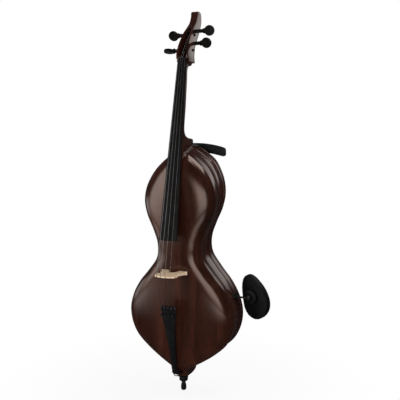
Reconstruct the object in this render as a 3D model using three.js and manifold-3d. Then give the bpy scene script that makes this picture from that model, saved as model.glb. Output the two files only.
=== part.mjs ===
// Electric cello in millimetres: +Z up along the body, front towards -Y, origin under the endpin tip.

import * as THREE from "three";
import { mergeVertices } from "three/addons/utils/BufferGeometryUtils.js";
import Module from "manifold-3d";

const wasm = await Module();
wasm.setup();

// Driving dimensions

const full_turn = 2 * Math.PI;
const rest_gap = 0.3;
const cut_overrun = 4;
const cut_overlap = 1;

// Body: the front rim is the driving outline, and the back rim is swept up from it towards the shoulders
const body_bottom_z = 62;
const body_length = 728;
const lower_bout_width = 364;
const front_rim_forward = 38;
const back_rim_backward = 79;
const shoulder_sweep = 44;
const shoulder_drop = 19;
const tail_rise = 20;
const plate_edge_thickness = 8;
const plate_thickness = 5.5;
const front_arch = 18;
const seam_backward = 14;
const shell_roll_width = 38;
const shell_roll_depth = 37;
const shell_swell = 6;
const neck_dip = 9;
const back_arch = 15;
const rib_inset = 3;
const rib_wall = 5;
const body_top_z = body_bottom_z + body_length;

// The string line: the bridge stands on the front's crown, and the neck holds the nut above the body
const bridge_place_share = 0.48214;
const bridge_tall = 84;
const neck_rise = 298;
const nut_backward = 3;
const bridge_height_z = body_bottom_z + bridge_place_share * body_length;
const bridge_top_forward = front_rim_forward + front_arch + bridge_tall;
const nut_height_z = body_top_z + neck_rise;

// Neck and head
const neck_width_at_nut = 31;
const neck_depth_at_nut = 25;
const neck_depth_at_heel = 29;
const heel_over_body = 42;
const heel_in_body = 20;
const heel_shelf_z = body_top_z + heel_over_body;
const heel_bottom_z = body_top_z - heel_in_body;
const heel_backward = 46;
const heel_width = 34;
const pegbox_wall = 5.5;

// Fingerboard and strings
const board_length = 576;
const board_end_width = 62;
const board_radius = 62;
const board_side_thickness = 5.5;
const string_gap_at_nut = 1.6;
const string_gap_at_board_end = 6;
const strings_width_at_nut = 22;
const strings_width_at_bridge = 47;
const string_names = ["c", "g", "d", "a"];
const string_radii = [0.85, 0.7, 0.55, 0.42];
const string_sides = 8;

// Bridge
const bridge_width = 90;
const bridge_foot_width = 27;
const bridge_top_width = 66;
const bridge_foot_thickness = 11;
const bridge_top_thickness = 4;
const pickup_thickness = 2;

// Tailpiece
const tailpiece_below_bridge = 102;
const tailpiece_top_stand = 45;
const tailpiece_tail_up = 26;
const tailpiece_tail_stand = 23;
const tailpiece_top_z = bridge_height_z - tailpiece_below_bridge;
const tailpiece_top_forward = front_rim_forward + front_arch + tailpiece_top_stand;
const tailpiece_bottom_z = body_bottom_z + tailpiece_tail_up;
const tailpiece_bottom_forward = front_rim_forward + tailpiece_tail_stand;
const tailpiece_top_width = 54;
const tailpiece_bottom_width = 19;

// Endpin
const tip_length = 27;
const tip_radius = 9;
const endpin_rod_radius = 5;
const endpin_rod_length = 430;
const collar_bottom_z = 31;
const collar_top_z = 57;
const collar_radius = 14.5;

// Rests for the player's chest and knee
const chest_rest_width = 204;
const chest_rest_height = 30;
const knee_pad_length = 144;
const knee_pad_width = 98;

// Small tools

const vec = (x, y, z) => new THREE.Vector3(x, y, z);
const mix = THREE.MathUtils.lerp;
const clamp01 = (value) => THREE.MathUtils.clamp(value, 0, 1);
const degrees = THREE.MathUtils.degToRad;

function triangleGeometry(points, faces) {
  const geometry = new THREE.BufferGeometry();
  const places = points.flatMap((p) => [p.x, p.y, p.z]);
  geometry.setAttribute("position", new THREE.Float32BufferAttribute(places, 3));
  geometry.setIndex(faces.flat());
  return geometry;
}

// Turns a closed three.js geometry into a solid with its faces pointing out.
const weld_distance = 1e-3;
function solidOf(geometry) {
  const bare = geometry.index ? geometry.toNonIndexed() : geometry.clone();
  bare.deleteAttribute("normal");
  bare.deleteAttribute("uv");
  const merged = mergeVertices(bare, weld_distance);
  const corners = Array.from(merged.index.array);
  const kept = [];
  for (let i = 0; i < corners.length; i += 3) {
    const [a, b, c] = corners.slice(i, i + 3);
    if (a !== b && b !== c && c !== a) kept.push(a, b, c);
  }
  const build = (triangles) =>
    new wasm.Manifold(
      new wasm.Mesh({
        numProp: 3,
        vertProperties: merged.attributes.position.array,
        triVerts: Uint32Array.from(triangles),
      }),
    );
  const solid = build(kept);
  return solid.volume() < 0 ? build(kept.reverse()) : solid;
}

function geometryOf(solid) {
  const mesh = solid.getMesh();
  const geometry = new THREE.BufferGeometry();
  const places = new Float32Array(mesh.numVert * 3);
  for (let i = 0; i < mesh.numVert; i++) {
    places.set(mesh.vertProperties.subarray(i * mesh.numProp, i * mesh.numProp + 3), i * 3);
  }
  geometry.setAttribute("position", new THREE.BufferAttribute(places, 3));
  geometry.setIndex(new THREE.BufferAttribute(mesh.triVerts, 1));
  return geometry;
}

// Skins a row of rings that all have the same count of points, and closes both ends with a fan.
function loft(rings, closed = false) {
  const count = rings[0].length;
  const points = rings.flat();
  const faces = [];
  const last = closed ? rings.length : rings.length - 1;
  for (let r = 0; r < last; r++) {
    for (let i = 0; i < count; i++) {
      const next = (i + 1) % count;
      const a = r * count + i;
      const b = r * count + next;
      const c = ((r + 1) % rings.length) * count + next;
      const d = ((r + 1) % rings.length) * count + i;
      faces.push([a, b, c], [a, c, d]);
    }
  }
  if (!closed) {
    for (const r of [0, rings.length - 1]) {
      const middle = rings[r].reduce((sum, p) => sum.add(p), vec(0, 0, 0)).divideScalar(count);
      const hub = points.push(middle) - 1;
      for (let i = 0; i < count; i++) {
        const a = r * count + i;
        const b = r * count + ((i + 1) % count);
        faces.push(r === 0 ? [hub, b, a] : [hub, a, b]);
      }
    }
  }
  return solidOf(triangleGeometry(points, faces));
}

// Skins rings whose first and last ring have shrunk to a line or a point.
function loftPinched(rings) {
  const count = rings[0].length;
  const faces = [];
  for (let r = 0; r < rings.length - 1; r++) {
    for (let i = 0; i < count; i++) {
      const next = (i + 1) % count;
      faces.push([r * count + i, r * count + next, (r + 1) * count + next]);
      faces.push([r * count + i, (r + 1) * count + next, (r + 1) * count + i]);
    }
  }
  return solidOf(triangleGeometry(rings.flat(), faces));
}

const moved = (solid, x, y, z) => solid.translate([x, y, z]);

function box(x_size, y_size, z_size, centre) {
  return moved(solidOf(new THREE.BoxGeometry(x_size, y_size, z_size)), centre.x, centre.y, centre.z);
}

// A cylinder between two points.
function rod(start, end, radius, sides = 20) {
  const axis = end.clone().sub(start);
  const geometry = new THREE.CylinderGeometry(radius, radius, axis.length(), sides);
  const turn = new THREE.Quaternion().setFromUnitVectors(vec(0, 1, 0), axis.clone().normalize());
  const middle = start.clone().lerp(end, 0.5);
  geometry.applyMatrix4(new THREE.Matrix4().compose(middle, turn, vec(1, 1, 1)));
  return solidOf(geometry);
}

// A turned piece: the profile lists [radius, distance along the axis] from axis to axis.
function turned(profile, start, direction, sides = 24) {
  const geometry = new THREE.LatheGeometry(profile.map(([r, h]) => new THREE.Vector2(r, h)), sides);
  const turn = new THREE.Quaternion().setFromUnitVectors(vec(0, 1, 0), direction.clone().normalize());
  geometry.applyMatrix4(new THREE.Matrix4().compose(start, turn, vec(1, 1, 1)));
  return solidOf(geometry);
}

// A stretched string: straight runs joined end to end.
function straightRuns(points, radius, sides) {
  const runs = points.slice(1).map((p, i) => rod(points[i], p, radius, sides));
  return runs.reduce((whole, run) => whole.add(run));
}

// A round wire bent smoothly through points.
function wire(points, radius, steps, sides) {
  const path = new THREE.CatmullRomCurve3(points, false, "centripetal");
  const circle = new THREE.Shape();
  for (let i = 0; i < sides; i++) {
    const angle = (full_turn * i) / sides;
    const [x, y] = [radius * Math.cos(angle), radius * Math.sin(angle)];
    if (i === 0) circle.moveTo(x, y);
    else circle.lineTo(x, y);
  }
  circle.closePath();
  const options = { steps, bevelEnabled: false, extrudePath: path };
  return solidOf(new THREE.ExtrudeGeometry(circle, options));
}

const cello = new THREE.Group();
const finishes = {
  lacquer: { color: 0x3a1a12, roughness: 0.12, metalness: 0 },
  ebony: { color: 0x161514, roughness: 0.4, metalness: 0 },
  maple: { color: 0xd8bf96, roughness: 0.55, metalness: 0 },
  steel: { color: 0xa8a8a8, roughness: 0.3, metalness: 1 },
  black_metal: { color: 0x1c1c1e, roughness: 0.35, metalness: 1 },
  rubber: { color: 0x141414, roughness: 0.8, metalness: 0 },
  foam: { color: 0x18181a, roughness: 0.9, metalness: 0 },
  plastic: { color: 0x202022, roughness: 0.5, metalness: 0 },
  brass: { color: 0xb08a45, roughness: 0.35, metalness: 1 },
  board_green: { color: 0x24503a, roughness: 0.6, metalness: 0 },
  spruce: { color: 0xc9a878, roughness: 0.7, metalness: 0 },
};

function add(name, solid, finish, group = cello) {
  const mesh = new THREE.Mesh(geometryOf(solid), new THREE.MeshStandardMaterial(finishes[finish]));
  mesh.name = name;
  group.add(mesh);
  return solid;
}

// Body outline: shares of the body length up from the tail, and shares of half the lower bout's width
const outline_shares = [
  [0.0, 0.0],
  [0.02, 0.13],
  [0.063, 0.407],
  [0.111, 0.657],
  [0.166, 0.867],
  [0.228, 0.977],
  [0.29, 1.0],
  [0.352, 0.934],
  [0.413, 0.793],
  [0.475, 0.58],
  [0.537, 0.405],
  [0.599, 0.394],
  [0.661, 0.487],
  [0.723, 0.607],
  [0.784, 0.663],
  [0.846, 0.629],
  [0.908, 0.505],
  [0.958, 0.33],
  [0.99, 0.16],
  [1.0, 0.0],
];
const outline_sides = 30;
const front_rim_y = -front_rim_forward;
const back_rim_y = back_rim_backward;
const ribs_front_y = front_rim_y + plate_edge_thickness;
const ribs_back_y = back_rim_y - plate_edge_thickness;
const seam_y = seam_backward;
const roll_back_y = -seam_backward;
const spine_start_share = 0.24;
const spine_end_share = 0.82;

// Half of the outline, from tail to shoulder, is a smooth curve through the shares, and the rest mirrors it.
const half_outline = new THREE.CatmullRomCurve3(
  outline_shares.map(([up, out]) => vec((out * lower_bout_width) / 2, 0, body_bottom_z + up * body_length)),
  false,
  "centripetal",
).getSpacedPoints(outline_sides);
const right_half = half_outline.map((p) => ({ x: Math.max(p.x, 0), z: p.z }));
right_half[0].x = 0;
right_half[outline_sides].x = 0;
const left_half = right_half.slice(1, outline_sides).reverse();
const rim = [...right_half, ...left_half.map((p) => ({ x: -p.x, z: p.z }))];

// The back is swept up from the front at the shoulders, less so beside the neck, and it rises at the tail.
const tail_rise_share = 0.16;
const shoulder_drop_share = 0.9;
const eased = (value) => THREE.MathUtils.smoothstep(value, 0, 1);
function sweep(z, y) {
  const up = clamp01((z - body_bottom_z) / body_length);
  const back_share = clamp01((y - ribs_front_y) / (ribs_back_y - ribs_front_y));
  const rise = tail_rise * Math.max(0, 1 - up / tail_rise_share) ** 2;
  const drop = shoulder_drop * eased((up - shoulder_drop_share) / (1 - shoulder_drop_share));
  return back_share * (shoulder_sweep * up * up - drop + rise);
}

// The front shell swells out past the back's outline at the sides, and less towards the neck and the tail.
const swell_ease_share = 0.22;
const swell_full_y = -10;
const swell_end_y = 24;
function swell(up, y) {
  const along = eased(up / swell_ease_share) * eased((1 - up) / swell_ease_share);
  return shell_swell * along * clamp01((swell_end_y - y) / (swell_end_y - swell_full_y));
}

// The front face dips towards the neck, so that the fingerboard clears it.
const dip_start_share = 0.8;
function dip(z, y) {
  const up = (z - body_bottom_z) / body_length;
  const along = eased((up - dip_start_share) / (1 - dip_start_share));
  return neck_dip * along * clamp01((roll_back_y - y) / shell_roll_depth);
}

// One ring round the body at a depth, moved in from the rim by a distance and then a share of what is left.
function bodyRing(depth_inset, share, y) {
  return rim.map(({ x, z }) => {
    const up = (z - body_bottom_z) / body_length;
    const inset = depth_inset - swell(up, y);
    const spine = vec(0, 0, body_bottom_z + mix(spine_start_share, spine_end_share, up) * body_length);
    const edge = vec(x, 0, z);
    const distance = edge.distanceTo(spine);
    const point = edge.lerp(spine, inset / distance).lerp(spine, share);
    return vec(point.x, y + dip(point.z, y), point.z + sweep(point.z, y));
  });
}

// The front shell: its crown is nearly flat, and its edge rolls back into the side as far as the seam.
const crown_y = front_rim_y - front_arch;
const roll_front_y = roll_back_y - shell_roll_depth;
const roll_power = 0.8;
const roll_turn_shares = [0.08, 0.26, 0.44, 0.62, 0.81, 1];
const shell_lip = 1.5;
const crown_shares = [
  [0.12, 0.34],
  [0.3, 0.66],
  [0.6, 0.92],
  [1, 1],
];
// [inset, share, y] along the roll, drawn in by the wall's thickness for the inner face
function rollRows(wall) {
  return roll_turn_shares.map((turn_share) => {
    const turn = (turn_share * Math.PI) / 2;
    const out = Math.sin(turn) ** roll_power;
    const forward = Math.cos(turn) ** roll_power;
    const width = shell_roll_width - wall;
    return [shell_roll_width - width * out, 0, roll_back_y - (shell_roll_depth - wall) * forward];
  });
}
function crownRows(wall) {
  return crown_shares.map(([share, rise]) => [
    shell_roll_width,
    share,
    mix(roll_front_y, crown_y, rise) + wall,
  ]);
}
function frontShell() {
  const lip = [
    [0, 0, seam_y - shell_lip],
    [shell_lip, 0, seam_y],
  ];
  const outer = [...crownRows(0).reverse(), ...rollRows(0), ...lip];
  const wall = plate_thickness;
  const inner = [[wall, 0, seam_y], ...rollRows(wall).reverse(), ...crownRows(wall)];
  return loftPinched([...outer, ...inner].map(([inset, share, y]) => bodyRing(inset, share, y)));
}

// The carved back: [inset, share, rise over the rim] from the crown over the raised edge and back underneath.
const edge_round = 1.5;
const bead_width = 5;
const bead_rise = 0.6;
const channel_width = 11;
const channel_depth = 1.6;
const channel_end = 18;
const glue_ledge = 5;
const glue_margin = rib_inset + rib_wall + glue_ledge;
const arch_shares = [
  [0.12, 0.3],
  [0.3, 0.62],
  [0.55, 0.88],
  [0.8, 0.98],
  [1, 1],
];
const hollow_shares = [
  [0.3, 0.6],
  [0.75, 0.96],
  [1, 1],
];
function carvedBack() {
  const outer = arch_shares.map(([share, rise]) => [channel_end, share, rise * back_arch]).reverse();
  const edge = [
    [channel_end, 0, 0],
    [channel_width, 0, -channel_depth],
    [bead_width, 0, bead_rise],
    [edge_round, 0, 0],
    [0, 0, -edge_round],
    [0, 0, -plate_edge_thickness],
    [glue_margin, 0, -plate_edge_thickness],
  ];
  const inner_crown = back_arch - plate_thickness;
  const inner = hollow_shares.map(([share, rise]) => [
    glue_margin,
    share,
    mix(-plate_edge_thickness, inner_crown, rise),
  ]);
  const profile = [...outer, ...edge, ...inner];
  return loftPinched(profile.map(([inset, share, rise]) => bodyRing(inset, share, back_rim_y + rise)));
}

// Ribs: one wall from the seam to the back, with a bead part way.
const rib_bulge = 1.2;
const rib_bead_y_share = 0.6;
const rib_bead_half = 2.6;
const rib_bead_rise = 2;
function ribWall() {
  const front = seam_y + rest_gap;
  const back = ribs_back_y - rest_gap;
  const bead_y = mix(front, back, rib_bead_y_share);
  const outer = [
    [rib_inset, front],
    [rib_inset - rib_bulge, mix(front, bead_y, 0.5)],
    [rib_inset, bead_y - rib_bead_half],
    [rib_inset - rib_bead_rise, bead_y],
    [rib_inset, bead_y + rib_bead_half],
    [rib_inset - rib_bulge, mix(bead_y, back, 0.5)],
    [rib_inset, back],
  ];
  const inner = [
    [rib_inset + rib_wall, back],
    [rib_inset + rib_wall, mix(front, back, 0.5)],
    [rib_inset + rib_wall, front],
  ];
  return loft([...outer, ...inner].map(([inset, y]) => bodyRing(inset, 0, y)), true);
}

let front_plate = frontShell();
let back_plate = carvedBack();
let ribs = ribWall();
const interior_inset = rib_inset + rib_wall + 2 * rest_gap;
const interior_front = ribs_front_y + rest_gap;
const interior_back = ribs_back_y - rest_gap;
const interior_depths = [interior_front, mix(interior_front, interior_back, 0.5), interior_back];
const interior = loft(interior_depths.map((y) => bodyRing(interior_inset, 0, y)));

// Neck frame: its Z runs up the strings from the nut, and its Y runs from the strings into the neck
const string_rise = nut_height_z - bridge_height_z;
const string_setback = nut_backward + bridge_top_forward;
const string_length = Math.hypot(string_rise, string_setback);
const neck_angle = Math.atan2(string_setback, string_rise);
const neck_matrix = new THREE.Matrix4()
  .makeTranslation(0, nut_backward, nut_height_z)
  .multiply(new THREE.Matrix4().makeRotationX(-neck_angle));
const inNeck = (x, y, z) => vec(x, y, z).applyMatrix4(neck_matrix);
const sagitta = (half) => board_radius - Math.sqrt(board_radius * board_radius - half * half);

// Fingerboard
const board_start = 4;
const board_hollow = 5;
const board_hollow_start_share = 0.56;
const board_rows = [0, 0.25, 0.5, 0.56, 0.6, 0.8, 1];
const boardHalf = (share) => mix(neck_width_at_nut, board_end_width, share) / 2;
const bottom_at_nut = string_gap_at_nut + sagitta(boardHalf(0)) + board_side_thickness;
const bottom_at_end = string_gap_at_board_end + sagitta(boardHalf(1)) + board_side_thickness;
const boardBottom = (share) => mix(bottom_at_nut, bottom_at_end, share);
function fingerboard() {
  const across_shares = [-1, -0.8, -0.5, -0.2, 0.2, 0.5, 0.8, 1];
  const under_shares = [1, 0.75, 0.3, -0.3, -0.75, -1];
  const rings = board_rows.map((share) => {
    const half = boardHalf(share);
    const z = -mix(board_start, board_length, share);
    const hollow = share > board_hollow_start_share ? board_hollow : 0;
    const edge_y = boardBottom(share) - board_side_thickness;
    const crown = across_shares.map((a) => inNeck(a * half, edge_y - sagitta(half) + sagitta(a * half), z));
    const under = under_shares.map((a) => {
      const scoop = Math.abs(a) < 0.5 ? hollow : 0;
      return inNeck(a * half, boardBottom(share) - scoop, z);
    });
    return [...crown, ...under];
  });
  return loft(rings);
}

// Neck: a rounded handle under the board that swells into the heel and is set into the body
const neck_sides = 9;
const shareAt = (z) => clamp01((-z - board_start) / (board_length - board_start));
function neckRing(z, depth, half, extra = 0) {
  const flat = boardBottom(shareAt(z)) + rest_gap;
  const ring = [];
  for (let i = 0; i <= neck_sides; i++) {
    const angle = (Math.PI * i) / neck_sides;
    const squareness = 0.75;
    const across = Math.sign(Math.cos(angle)) * Math.abs(Math.cos(angle)) ** squareness;
    const deep = Math.sin(angle) ** squareness;
    ring.push(inNeck(across * (half + extra), flat + deep * (depth + extra), z));
  }
  return ring;
}
// How far down the neck frame a height over the floor lies, on the strings.
const neckZ = (height) => (height - nut_height_z) / Math.cos(neck_angle);
const neck_fillet = 22;
const heel_lean = (heel_shelf_z - nut_height_z) * Math.tan(neck_angle);
const heel_depth = heel_backward / Math.cos(neck_angle) - heel_lean;
const neck_top = 2;
const heel_flare = 4;
const heel_edge_drop = 3;
const heel_taper = 4;
const heel_side_taper = 1;
const neck_join_z = neckZ(heel_shelf_z + neck_fillet);
const heel_shelf_neck_z = neckZ(heel_shelf_z) - heel_backward * Math.sin(neck_angle);
const fillet_shares = [
  [0, 0],
  [0.45, 0.08],
  [0.75, 0.3],
  [0.92, 0.62],
  [1, 0.9],
];
function neckHandle(extra = 0) {
  const heelFull = heel_depth - boardBottom(shareAt(heel_shelf_neck_z));
  const rings = [neckRing(neck_top, neck_depth_at_nut, neck_width_at_nut / 2, extra)];
  const half_at = (z) => Math.min(boardHalf(shareAt(z)), heel_width / 2 + heel_flare);
  for (const share of [0.3, 0.65]) {
    const z = mix(neck_top, neck_join_z, share);
    rings.push(neckRing(z, mix(neck_depth_at_nut, neck_depth_at_heel, share), half_at(z), extra));
  }
  for (const [down, out] of fillet_shares) {
    const z = mix(neck_join_z, heel_shelf_neck_z, down);
    const depth = mix(neck_depth_at_heel, heelFull, out);
    rings.push(neckRing(z, depth, mix(half_at(z), heel_width / 2, out), extra));
  }
  const shelf_z = heel_shelf_neck_z - heel_edge_drop;
  rings.push(neckRing(shelf_z, heelFull, heel_width / 2, extra));
  const bottom_half = heel_width / 2 - heel_side_taper;
  rings.push(neckRing(neckZ(heel_bottom_z) - extra, heelFull - heel_taper, bottom_half, extra));
  return loft(rings);
}

// Head: each row gives its front and back edge as shares of the head's length, up and back from the nut, then
// half the width as a share of the widest, and whether the pegbox is open there
const head_length = 158;
const head_width = 42;
const head_shares = [
  { front: [-0.0759, 0.0316], back: [-0.1519, 0.2855], half: 0.8095, open: false },
  { front: [-0.0127, 0.019], back: [-0.0759, 0.3361], half: 0.9762, open: false },
  { front: [0.0506, 0.019], back: [0.0316, 0.3488], half: 1, open: true },
  { front: [0.1646, 0.0475], back: [0.1582, 0.3678], half: 0.9524, open: true },
  { front: [0.2848, 0.0949], back: [0.3038, 0.4311], half: 0.881, open: true },
  { front: [0.4051, 0.1772], back: [0.4304, 0.5323], half: 0.8095, open: true },
  { front: [0.5253, 0.2722], back: [0.5696, 0.6399], half: 0.7381, open: true },
  { front: [0.6456, 0.4051], back: [0.7089, 0.7285], half: 0.6429, open: true },
  { front: [0.7658, 0.5316], back: [0.8165, 0.7855], half: 0.5714, open: false },
  { front: [0.8861, 0.5949], back: [0.9241, 0.7728], half: 0.5714, open: false },
  { front: [1, 0.6266], back: [0.9937, 0.7539], half: 0.5952, open: false },
];
const headRow = ({ front, back, half, open }) => ({
  front: [nut_height_z + front[0] * head_length, nut_backward + front[1] * head_length],
  back: [nut_height_z + back[0] * head_length, nut_backward + back[1] * head_length],
  half: (half * head_width) / 2,
  open,
});
const head_stations = head_shares.map(headRow);
const head_corner = 3;
function headRing({ front, back, half }, corner) {
  const f = vec(0, front[1], front[0]);
  const b = vec(0, back[1], back[0]);
  const depth = f.distanceTo(b);
  const deep = b.clone().sub(f).normalize();
  const corners = [
    [-1, 0],
    [1, 0],
    [1, 1],
    [-1, 1],
  ];
  const ring = [];
  corners.forEach(([side, far], i) => {
    const towards = [corners[(i + 3) % 4], corners[(i + 1) % 4]];
    for (const other of towards) {
      const x = side * half + Math.sign(other[0] - side) * corner;
      const d = far * depth + Math.sign(other[1] - far) * corner;
      ring.push(f.clone().addScaledVector(deep, d).setX(x));
    }
  });
  return ring;
}
const cavity_mouth_shares = { front: [0.0101, 0.019], back: [0.0101, 0.3425], half: 1, open: true };
const cavity_mouth = headRow(cavity_mouth_shares);
const cavity_depth_share = 0.86;
const cavity_reach = 14;
function headCavity() {
  const stations = [cavity_mouth, ...head_stations.filter((row) => row.open)];
  const rings = stations.map(({ front, back, half }, i, list) => {
    const f = vec(0, front[1], front[0]);
    const b = vec(0, back[1], back[0]);
    const deep = b.clone().sub(f);
    const narrow = i === list.length - 1 ? pegbox_wall / 2 : 0;
    const start = f.clone().addScaledVector(deep.clone().normalize(), -cavity_reach);
    const end = f.clone().addScaledVector(deep, i === list.length - 1 ? 0.2 : cavity_depth_share);
    return headRing(
      { front: [start.z, start.y], back: [end.z, end.y], half: half - pegbox_wall - narrow },
      head_corner / 2,
    );
  });
  return loft(rings);
}
let neck = neckHandle().add(loft(head_stations.map((s) => headRing(s, head_corner)))).subtract(headCavity());

// Nut
const nut_thickness = 5.5;
const nut_base = bottom_at_nut;
function nutBlock() {
  const half = neck_width_at_nut / 2;
  const shares = [-1, -0.6, -0.2, 0.2, 0.6, 1];
  const ringAt = (z) => [
    ...shares.map((a) => inNeck(a * half, string_radii[0] + rest_gap + sagitta(a * half), z)),
    inNeck(half, nut_base, z),
    inNeck(-half, nut_base, z),
  ];
  return loft([ringAt(-board_start + rest_gap + nut_thickness), ringAt(-board_start + rest_gap)]);
}
// The neck is planed flat under the nut and the board.
const plane_half = board_end_width;
const planeRing = (z, y) => [
  inNeck(-plane_half, -plane_half, z),
  inNeck(plane_half, -plane_half, z),
  inNeck(plane_half, y + rest_gap, z),
  inNeck(-plane_half, y + rest_gap, z),
];
neck = neck.subtract(
  loft([
    planeRing(nut_thickness - board_start + 2 * rest_gap, bottom_at_nut),
    planeRing(-board_start, bottom_at_nut),
    planeRing(-board_length, bottom_at_end),
  ]),
);

// The heel is let into the body: a mortise in the plates, the ribs and the top block
const mortise = neckHandle(rest_gap);
front_plate = front_plate.subtract(mortise);
back_plate = back_plate.subtract(mortise);
ribs = ribs.subtract(mortise);
const top_block_width = 62;
const top_block_height = 70;
const ribs_depth = ribs_back_y - ribs_front_y;
const ribs_middle_y = (ribs_front_y + ribs_back_y) / 2;
const top_block_z = body_top_z - top_block_height / 2;
const top_block = box(top_block_width, ribs_depth, top_block_height * 2, vec(0, ribs_middle_y, top_block_z))
  .intersect(interior)
  .subtract(mortise)
  .subtract(moved(front_plate, 0, rest_gap, 0))
  .subtract(moved(front_plate, 0, rest_gap, -rest_gap));

// Tail block: the end of the core that shows under the back and holds the endpin
const tail_block_width = 50;
const tail_block_backward = 47;
const tail_block_tall = 88;
const tail_block_top_z = body_bottom_z + tail_block_tall;
const tail_block_corner = 9;
const endpin_clearance = 0.4;
function tailBlock(extra = 0) {
  const front = ribs_front_y + rest_gap - extra;
  const back = tail_block_backward + extra;
  const bottom = collar_top_z + rest_gap - extra;
  const side = new THREE.Shape();
  side.moveTo(front, bottom + tail_block_corner);
  side.quadraticCurveTo(front, bottom, front + tail_block_corner, bottom);
  side.lineTo(collar_radius, bottom);
  side.quadraticCurveTo(back, bottom + tail_block_corner / 2, back, bottom + tail_block_corner * 1.6);
  side.lineTo(back, tail_block_top_z + extra);
  side.lineTo(front, tail_block_top_z + extra);
  side.closePath();
  const depth = tail_block_width + 2 * extra;
  const geometry = new THREE.ExtrudeGeometry(side, { depth, bevelEnabled: false, curveSegments: 6 });
  geometry.translate(0, 0, -depth / 2);
  // the drawing plane's X becomes depth and its Y becomes height
  geometry.applyMatrix4(new THREE.Matrix4().makeBasis(vec(0, 1, 0), vec(0, 0, 1), vec(1, 0, 0)));
  return solidOf(geometry);
}
ribs = ribs.subtract(tailBlock(rest_gap));
front_plate = front_plate.subtract(tailBlock(rest_gap));

// Strings: they break over the nut's upper edge
const nut_break_z = nut_thickness - board_start + 2 * rest_gap;
// Their places at the nut and at the bridge, as shares of the spans
const string_shares = [-0.5, -1 / 6, 1 / 6, 0.5];
const nutPoint = (i) => {
  const x = string_shares[i] * strings_width_at_nut;
  return inNeck(x, sagitta(Math.abs(x)), nut_break_z);
};
const bridgePoint = (i) => {
  const x = string_shares[i] * strings_width_at_bridge;
  return inNeck(x, sagitta(Math.abs(x)), -string_length);
};

// Bridge: cut from a board in its own plane, x across and h up from the belly, then thinned towards the top
const bridge_foot_y = front_rim_y - front_arch;
const bridge_stand = bridge_top_forward + bridge_foot_y;
const bridge_string_gap = 0.3;
const bridge_leg_shares = [
  [1, 0.07],
  [0.94, 0.13],
  [0.78, 0.24],
  [0.35, 0.34],
];
const bridge_side_shares = [
  [1, 0.06],
  [0.87, 0.12],
  [0.78, 0.24],
  [0.76, 0.34],
  [0.71, 0.42],
  [0.51, 0.47],
  [0.49, 0.53],
  [0.64, 0.57],
  [0.8, 0.6],
  [0.82, 0.68],
  [0.8, 0.78],
];
const bridge_crown_shares = [1, 0.6, 0.2, -0.2, -0.6, -1];
const heart_half = 7;
const heart_low_share = 0.5;
const heart_high_share = 0.68;
function bridgeSolid() {
  const foot = bridge_width / 2;
  const inner_foot = foot - bridge_foot_width;
  const stand = bridge_stand - string_radii[0] - bridge_string_gap;
  const mirrored = (list) => list.map(([x, h]) => [-x, h]).reverse();
  const edgeOf = (shares, out) => [[out, -cut_overrun], ...shares.map(([x, h]) => [x * out, h * stand])];
  const legs = edgeOf(bridge_leg_shares, inner_foot);
  const sides = edgeOf(bridge_side_shares, foot);
  const crown = bridge_crown_shares.map((a) => {
    const x = (a * bridge_top_width) / 2;
    return [x, stand - sagitta(Math.abs(x))];
  });
  const left_legs = legs.map(([x, h]) => [-x, h]);
  const outline = [...[...legs].reverse(), ...sides, ...crown, ...mirrored(sides), ...left_legs];
  const shape = new THREE.Shape(outline.map(([x, h]) => new THREE.Vector2(x, h)));
  const low = heart_low_share * stand;
  const high = heart_high_share * stand;
  const heart = new THREE.Path();
  heart.moveTo(0, low);
  heart.quadraticCurveTo(heart_half * 1.6, mix(low, high, 0.6), heart_half, high);
  heart.quadraticCurveTo(heart_half / 2, high + heart_half / 3, 0, mix(low, high, 0.72));
  heart.quadraticCurveTo(-heart_half / 2, high + heart_half / 3, -heart_half, high);
  heart.quadraticCurveTo(-heart_half * 1.6, mix(low, high, 0.6), 0, low);
  shape.holes.push(heart);
  const depth = bridge_foot_thickness;
  const geometry = new THREE.ExtrudeGeometry(shape, { depth, bevelEnabled: false, curveSegments: 4 });
  const places = geometry.attributes.position;
  for (let i = 0; i < places.count; i++) {
    const up = clamp01(places.getY(i) / stand);
    const thin = mix(bridge_foot_thickness, bridge_top_thickness, up) / bridge_foot_thickness;
    const z = bridge_height_z + depth / 2 - places.getZ(i) * thin - (depth * (1 - thin)) / 2;
    places.setXYZ(i, places.getX(i), bridge_foot_y - places.getY(i), z);
  }
  return solidOf(geometry);
}
// The belly with a gap in front of it and all that lies just behind it, to fit what stands on it.
function bellyCutter(lift) {
  return moved(front_plate, 0, -lift, 0).add(moved(front_plate, 0, plate_thickness - cut_overlap - lift, 0));
}
// The feet are fitted to the belly over thin pickup wafers.
const belly_lift = pickup_thickness + 2 * rest_gap;
const bridge = bridgeSolid().subtract(bellyCutter(belly_lift));
const pickup_margin = 1;
const pickup_length = bridge_foot_width - 2 * pickup_margin;
const pickup_depth = bridge_foot_thickness - pickup_margin;
const pickup_block = 40;
function pickup(side) {
  const x = (side * (bridge_width - bridge_foot_width)) / 2;
  const block = box(pickup_length, pickup_block, pickup_depth, vec(x, front_rim_y, bridge_height_z));
  const under_foot = moved(front_plate, 0, rest_gap - belly_lift, 0);
  return block.intersect(under_foot).subtract(moved(front_plate, 0, -rest_gap, 0));
}

// Saddle: an ebony rest let into the plate's edge, over which the tail wire bends
const saddle_width = 34;
const saddle_height = 9;
const saddle_up = 16;
const saddle_proud = 7;
const saddle_top_z = body_bottom_z + saddle_up;
const saddle_forward = front_rim_forward + saddle_proud;
const saddle_depth = 11;
const saddle_bar = box(saddle_width, saddle_depth, saddle_height, vec(0, -saddle_forward, saddle_top_z));
const saddle = saddle_bar.subtract(bellyCutter(rest_gap));

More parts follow.
